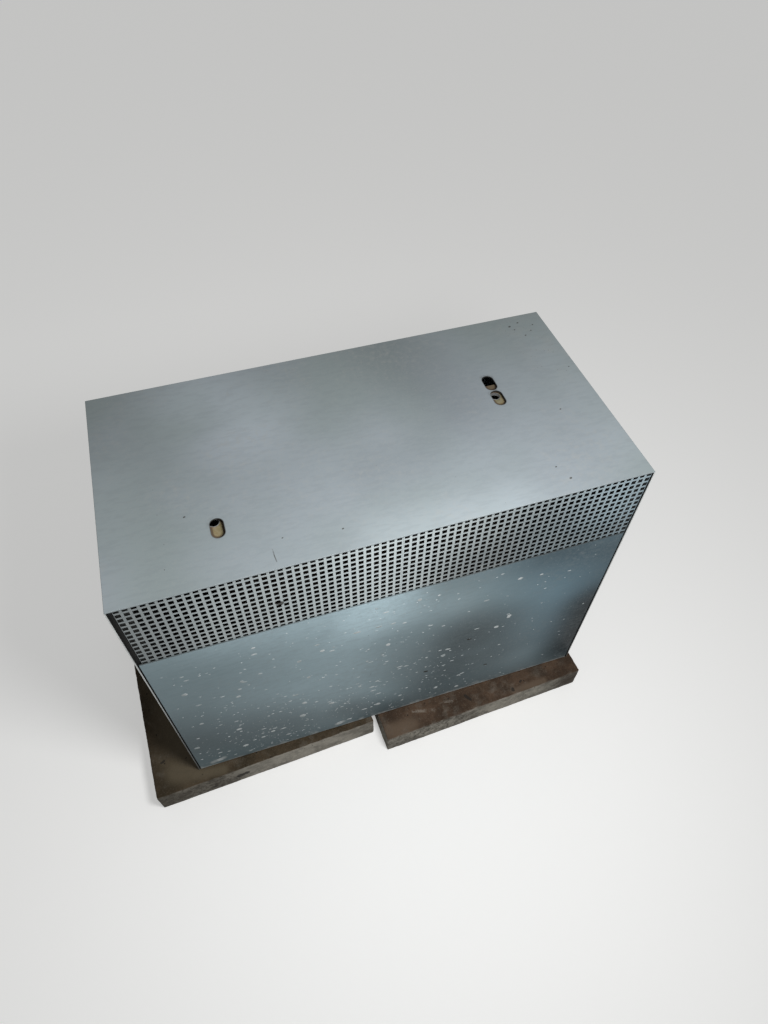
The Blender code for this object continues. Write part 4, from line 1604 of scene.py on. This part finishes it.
@dataclass
class Splashes(SubAssembly):
    """Dried drops of whitewash on the front: the largest where the photo has them, the rest strewn."""

    seed: int = 41
    thickness: float = 0.00030
    shapes: int = 4
    large_sides: int = 18
    small_sides: int = 9
    strewn: int = 520
    smallest: float = 0.0008
    largest: float = 0.0031
    fineness: float = 3.4
    margin: float = 0.011
    ragged: Flat = (0.84, 1.12)
    film: float = 0.35
    steps: tuple[Flat, ...] = ((0.16, 0.45), (0.34, 0.20))
    even: float = 0.36
    spared: float = 0.24
    spared_from: Flat = (0.18, 0.05)
    thick: tuple[tuple[Flat, Flat, float], ...] = (
        ((-0.22, 0.18), (0.24, 0.14), 0.60),
        ((0.08, 0.22), (0.16, 0.16), 0.30),
    )
    large: tuple[Point, ...] = (
        (-0.402, 0.089, 7.6), (-0.431, 0.190, 4.8), (-0.403, 0.442, 4.9), (-0.400, 0.300, 3.6),
        (-0.338, 0.126, 5.8), (-0.338, 0.221, 4.8), (-0.316, 0.372, 4.0), (-0.301, 0.429, 4.0),
        (-0.274, 0.158, 4.0), (-0.206, 0.192, 7.4), (-0.197, 0.255, 5.2), (-0.191, 0.444, 4.6),
        (-0.179, 0.367, 4.0), (-0.146, 0.460, 4.2), (-0.140, 0.212, 5.6), (-0.128, 0.090, 7.2),
        (-0.037, 0.132, 5.8), (-0.017, 0.408, 5.2), (0.041, 0.548, 4.2), (0.102, 0.124, 3.9),
        (0.108, 0.285, 5.4), (0.157, 0.095, 4.3), (0.221, 0.347, 4.6), (0.245, 0.381, 4.6),
        (0.245, 0.523, 4.8),
    )

    def build(self) -> None:
        """Models the drops and lays them on the panel."""
        low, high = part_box("front_panel")
        draw = random.Random(self.seed)
        copies = []
        models = [self.model(index, self.large_sides) for index in range(self.shapes)]
        for x, z, radius in self.large:
            stretch = (draw.uniform(0.95, 1.25), draw.uniform(0.85, 1.05))
            copies.append(self.lay(draw.choice(models), Vector((x, low.y, z)), radius * MM, stretch))
        models += [self.model(index, self.small_sides) for index in range(self.shapes)]
        while len(copies) < len(self.large) + self.strewn:
            x = draw.uniform(low.x + self.margin, high.x - self.margin)
            z = draw.uniform(low.z + self.margin, high.z - self.margin)
            if draw.random() < self.density(x, z):
                radius = self.smallest + (self.largest - self.smallest) * draw.random() ** self.fineness
                stretch = (draw.uniform(1.0, 2.8), draw.uniform(0.50, 0.95))
                shape = draw.choice(models[self.shapes:])
                copies.append(self.lay(shape, Vector((x, low.y, z)), radius, stretch))
        drops = copies[0].join(copies[1:]).name_as("whitewash_drops").smooth(60.0)
        for model in models:
            model.discard()
        self.hand_over(drops, Whitewash())

    def lay(self, model: Workpiece, place: Vector, radius: float, stretch: Flat) -> Workpiece:
        """Copies a drop of radius 1 and height 1 to its place, with factors on its width and height."""
        scale = Matrix.Diagonal((radius * stretch[0], self.thickness, radius * stretch[1], 1.0))
        return model.copy_to(Matrix.Translation(place) @ scale)

    def density(self, x: float, z: float) -> float:
        """How thickly the drops lie: most at the lower left, few at the right.

        Args:
            x: place across the panel.
            z: height.

        Returns:
            The chance that a drop there is kept, from 0 to 1.
        """
        start, slope = self.spared_from
        chance = self.even - self.spared / (1 + math.exp((start - x) / slope))
        for middle, reach, share in self.thick:
            away = ((x - middle[0]) / reach[0]) ** 2 + ((z - middle[1]) / reach[1]) ** 2
            chance += share * math.exp(-away)
        return min(1.0, chance)

    def model(self, index: int, sides: int) -> Workpiece:
        """Models one drop of radius 1 and height 1, lying on a wall that faces -Y.

        Args:
            index: which of the shapes it is.
            sides: how many sides its outline has.

        Returns:
            The drop.
        """
        draw = random.Random(self.seed + index)
        outline = {"vertices": sides, "radius": 1.0, "fill_type": "NGON"}
        drop = Workpiece("drop", Primitive.CIRCLE, rotation=(math.radians(90), 0, 0), **outline)
        for point in drop.item.data.vertices:
            point.co *= draw.uniform(*self.ragged)
        with drop.editing():
            drop.pick_all()
            drop.draw_out((0, -self.film, 0))
            for inset, rise in self.steps:
                bpy.ops.mesh.inset(thickness=inset)
                bpy.ops.transform.translate(value=(0, -rise, 0))
            drop.pick_all()
            bpy.ops.mesh.normals_make_consistent(inside=False)
        return drop


@dataclass
class LiftingBushes(SubAssembly):
    """Flanged bushes in the holes of the lifting rails, seen through the cover's slots."""

    holes: tuple[tuple[str, Flat], ...] = (
        ("lifting_rail_left", (-0.2740, -0.1053)),
        ("lifting_rail_right", (0.2720, 0.0305)),
    )
    outer: float = 0.0096
    bore: float = 0.0085
    flange: float = 0.0130
    length: float = 0.0056
    wall: float = 0.0025
    clearance: float = 0.0002
    edge: float = 0.0003
    sides: int = 40

    def build(self) -> None:
        """Models one bush and puts a copy into each hole."""
        bush = self.model()
        for rail, spot in self.holes:
            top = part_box(rail)[1].z
            copy = bush.copy_to(Matrix.Translation((*spot, top))).name_as(rail + "_bush")
            self.hand_over(copy, DULL_ZINC, "passivated_steel")
        bush.discard()

    def model(self) -> Workpiece:
        """Models the bush about the origin, its mouth at z 0.

        Returns:
            The bush: a collar in the rail's hole, on a flange under the rail.
        """
        under = self.wall + self.clearance
        bush = Workpiece.bar("bush", self.sides, self.flange, (-self.length, -under))
        with bush.editing():
            bush.pick(Pick.FACES, lambda middle, normal: normal.z > 0.9)
            bpy.ops.mesh.inset(thickness=self.flange - self.outer)
            bush.draw_out((0.0, 0.0, under))
            bush.round_edges(crossing(2, -self.clearance / 2), self.edge)
        bush.cut_with(Workpiece.bar("bore", self.sides, self.bore, (-2 * self.length, 2 * self.length)))
        return bush.smooth(30.0)


@dataclass
class Interior(SubAssembly):
    """Frame, core, windings and lifting rails inside the cabinet."""

    def build(self) -> None:
        """Dresses the inner solids."""
        sides = ("left", "right")
        corners = [depth + "_" + side for depth in ("front", "back") for side in sides]
        inner = ["base_rail_" + side for side in ("front", "back", *sides)]
        inner += ["corner_post_" + corner for corner in corners]
        inner += ["cross_rail_front", "cross_rail_back", "core_foot_left", "core_foot_right"]
        # painted shade: the inner parts wear finishes made near black
        self.dress(inner, FramePaint())
        limbs = ["core_limb_" + place for place in ("left", "middle", "right")]
        self.dress([*limbs, "core_yoke_top", "core_yoke_bottom"], CoreSteel())
        self.dress(["coil_" + place for place in ("left", "middle", "right")], Winding())
        levels = ("top", "bottom")
        clamps = ["clamp_" + level + "_" + depth for level in levels for depth in ("front", "back")]
        self.dress(clamps, SHADED_ZINC)
        # painted shade on the rails: a dark mark on the right rail's end under the cover, and rings of
        # painted shadow from the cover's slot edges
        rails = Passivated(
            "rail_zinc",
            shadow_marks=(((0.255, 0.056), (0.290, 0.050), 0.012),),
            slot_shadows=(
                ((-0.2704, -0.1277), (-0.2704, -0.1117)),
                ((0.2753, 0.0165), (0.2753, 0.0311)),
                ((0.2753, 0.0580), (0.2753, 0.0726)),
            ),
        )
        self.dress(["lifting_rail_left", "lifting_rail_right"], rails)
        self.dress(["terminal_board"], Laminate())


@dataclass
class CableEntry(SubAssembly):
    """Two cable glands and the earth stud on the back."""

    collar: Point = (1.0, 0.0, 0.3)
    collar_edge: float = 0.0008
    neck: Point = (0.80, 0.25, 0.5)
    groove: float = 0.36
    groove_width: float = 0.0006
    cap: Point = (0.96, 0.45, 1.0)
    cap_facets: int = 12
    cap_round: float = 0.16
    rib_inset: float = 0.0004
    rib_depth: float = 0.0008
    mouth_inset: float = 0.0026
    mouth_depth: float = 0.0030
    plug: Point = (0.50, 0.80, 0.94)
    plug_round: float = 0.0012
    washer_height: float = 0.0014
    nut_top: float = 0.0070
    nut_width: float = 0.92
    thread_width: float = 0.5
    thread_foot: float = 0.0060
    thread_start: float = 0.0075
    thread_pitch: float = 0.00125
    thread_root: float = 0.84
    thread_tip: float = 0.8

    def build(self) -> None:
        """Models the glands and the stud in place of their plain solids."""
        gland = self.gland()
        for side in ("left", "right"):
            name = "cable_gland_" + side
            copy = gland.copy_to(self.seat(name)).name_as(name + "_ribbed")
            self.hand_over(copy, Moulding(), "dark_plastic", [name])
        gland.discard()
        self.hand_over(self.stud(), TurnedBrass(), "brass", ["earth_stud"])

    @staticmethod
    def seat(name: str) -> Matrix:
        """Where a solid of the entry sits on the back, as a move from the origin."""
        low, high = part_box(name)
        return Matrix.Translation(((low.x + high.x) / 2, low.y, (low.z + high.z) / 2))

    def gland(self) -> Workpiece:
        """Models a gland from its seat at the origin along +Y.

        Returns:
            The gland: hexagon collar, threaded neck, ribbed cap and a plug in its mouth.
        """
        low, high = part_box("cable_gland_left")
        radius = (high.z - low.z) / 2
        length = high.y - low.y

        def turned(name: str, sides: int, shares: Point) -> Workpiece:
            """A bar whose radius, start and end are shares of the gland's radius and length."""
            wide, foot, top = shares
            return Workpiece.bar(name, sides, wide * radius, (foot * length, top * length), "Y")

        collar = turned("gland", 6, self.collar)
        with collar.editing():
            collar.round_edges(crossing(1), self.collar_edge)
        neck = turned("neck", 32, self.neck)
        with neck.editing():
            neck.pick(Pick.FACES, crossing(1))
            bpy.ops.mesh.bisect(plane_co=(0, self.groove * length, 0), plane_no=(0, 1, 0))
            bpy.ops.mesh.bevel(offset=self.groove_width, segments=2, affect="EDGES")
        cap = turned("cap", self.cap_facets * 2, self.cap)
        with cap.editing():
            cap.round_edges(crossing(1, 0.95 * length), self.cap_round * length, 3)
            cap.pick(Pick.FACES, lambda middle, normal: abs(normal.y) < 0.1 and self.is_rib(middle))
            bpy.ops.mesh.inset(thickness=self.rib_inset, use_individual=True)
            bpy.ops.transform.shrink_fatten(value=-self.rib_depth)
            cap.pick(Pick.FACES, lambda middle, normal: normal.y > 0.95 and middle.y > 0.9 * length)
            bpy.ops.mesh.inset(thickness=self.mouth_inset)
            cap.draw_out((0, -self.mouth_depth, 0))
        plug = turned("plug", 24, self.plug)
        with plug.editing():
            plug.round_edges(crossing(1, 0.9 * length), self.plug_round, 3)
        return collar.join([neck, cap, plug]).smooth(32.0)

    def is_rib(self, middle: Vector) -> bool:
        """Whether a facet of the cap is one of every second that is sunk between ribs."""
        step = math.pi / self.cap_facets
        return int(math.floor(math.atan2(middle.z, middle.x) / step)) % 2 == 0

    def stud(self) -> Workpiece:
        """Models the earth stud with its washers, nut and thread.

        Returns:
            The stud in its place.
        """
        low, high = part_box("earth_stud")
        wide = (high.z - low.z) / 2
        length = high.y - low.y
        washer = Workpiece.bar("earth_stud_threaded", 28, wide, (0.0, self.washer_height), "Y")
        with washer.editing():
            washer.round_edges(crossing(1, 0.7 * self.washer_height), 0.0004)
        nut = Workpiece.bar("nut", 6, self.nut_width * wide, (self.washer_height, self.nut_top), "Y")
        with nut.editing():
            nut.round_edges(crossing(1), 0.0006)
        thread = Workpiece.bar("thread", 20, self.thread_width * wide, (self.thread_foot, length), "Y")
        with thread.editing():
            for turn in range(int((length - self.nut_top) / self.thread_pitch)):
                root = self.thread_start + turn * self.thread_pitch
                thread.pick_all()
                bpy.ops.mesh.bisect(plane_co=(0, root, 0), plane_no=(0, 1, 0))
                bpy.ops.transform.resize(value=(self.thread_root, 1.0, self.thread_root))
                thread.pick_all()
                crest = root + self.thread_pitch / 2
                bpy.ops.mesh.bisect(plane_co=(0, crest, 0), plane_no=(0, 1, 0))
            thread.pick(Pick.FACES, lambda middle, normal: middle.y > length - 0.0002)
            bpy.ops.transform.resize(value=(self.thread_tip, 1.0, self.thread_tip))
        stud = washer.join([nut, thread]).smooth(40.0)
        stud.item.data.transform(self.seat("earth_stud"))
        return stud


@dataclass
class Studio:
    """Pale floor, soft lamps and the camera at the photo's angle."""

    location: Point = (-0.2312, -0.8192, 1.6336)
    heading: float = 18.782
    pitch: float = 52.074
    roll: float = 1.037
    lens: float = 24.416
    sensor: float = 36.0
    floor_size: float = 60.0
    floor_seen: Colour = (0.80, 0.80, 0.79)
    floor_lights: Colour = (0.36, 0.36, 0.355)
    floor_glow: Colour = (0.40, 0.40, 0.395)
    world_seen: float = 0.86
    world_lights: float = 0.18
    key_place: Point = (0.12, -0.68, 1.46)
    key_aim: Point = (0.05, -0.10, 0.60)
    key_size: float = 0.36
    key_power: float = 10.7

    def build(self) -> None:
        """Sets up floor, light, camera and view."""
        self.floor()
        self.sky()
        self.key()
        self.camera()
        bpy.context.scene.view_settings.view_transform = "Standard"

    def floor(self) -> None:
        """A wide pale floor whose bounce on the object is held back."""
        bpy.ops.object.select_all(action="DESELECT")
        bpy.ops.mesh.primitive_plane_add(size=self.floor_size, location=(0, 0, -0.0005))
        ground = bpy.context.active_object
        ground.name = "floor"
        graph = Graph("floor")
        camera = graph.node("ShaderNodeLightPath", output="Is Camera Ray")
        mirrored = camera.other("Is Glossy Ray").most(camera.other("Is Transmission Ray"))
        seen = camera.most(mirrored)
        colour = graph.mix(seen, self.floor_lights, self.floor_seen)
        glow = graph.mix(seen, (0.0, 0.0, 0.0), self.floor_glow)
        graph.surface(base_color=colour, roughness=0.9, specular_ior_level=0.1)
        graph.surface(emission_color=glow, emission_strength=1.0)
        ground.data.materials.append(graph.material)

    def sky(self) -> None:
        """An even sky: one level that lights the object, and a paler one that is seen."""
        world = bpy.data.worlds.new("studio")
        bpy.context.scene.world = world
        tree = Tree(world)
        camera = tree.node("ShaderNodeLightPath", output="Is Camera Ray")
        seen = camera.most(camera.other("Is Transmission Ray"))
        ends = {"Value": seen, "To Min": self.world_lights, "To Max": self.world_seen}
        level = tree.node("ShaderNodeMapRange", inputs=ends)
        white = (1.0, 1.0, 1.0, 1.0)
        tree.feed(world.node_tree.nodes["Background"], {"Color": white, "Strength": level})

    def key(self) -> None:
        """One large soft lamp above the front, aimed at the cabinet."""
        bpy.ops.object.light_add(type="AREA", location=self.key_place)
        lamp = bpy.context.active_object
        lamp.name = "key"
        lamp.data.shape = "DISK"
        lamp.data.size = self.key_size
        lamp.data.energy = self.key_power
        aim = Vector(self.key_aim) - Vector(self.key_place)
        lamp.rotation_euler = aim.to_track_quat("-Z", "Y").to_euler()
        lamp.visible_camera = False

    def camera(self) -> None:
        """The camera, from its heading, pitch and roll in degrees."""
        heading, pitch, roll = (math.radians(angle) for angle in (self.heading, self.pitch, self.roll))
        forward = Vector(
            (
                math.sin(heading) * math.cos(pitch),
                math.cos(heading) * math.cos(pitch),
                -math.sin(pitch),
            )
        )
        level = Vector((math.cos(heading), -math.sin(heading), 0.0))
        upward = level.cross(forward)
        right = math.cos(roll) * level + math.sin(roll) * upward
        above = math.cos(roll) * upward - math.sin(roll) * level
        data = bpy.data.cameras.new("camera")
        data.sensor_width = self.sensor
        data.lens = self.lens
        data.clip_start = 0.05
        camera = bpy.data.objects.new("camera", data)
        bpy.context.scene.collection.objects.link(camera)
        turned = Matrix((right, above, -forward)).transposed()
        camera.matrix_world = Matrix.Translation(self.location) @ turned.to_4x4()
        bpy.context.scene.camera = camera


def main() -> None:
    """Builds the scene: studio first, then each sub-assembly in order."""
    logging.basicConfig(level=logging.INFO, format="%(name)s: %(message)s")
    palette = Palette()
    Studio().build()
    for part in (Paving, Cabinet, Splashes, Screws, LiftingBushes, Interior, CableEntry):
        LOG.info("building %s", part.__name__)
        part(palette).build()


if __name__ == "__main__":
    main()
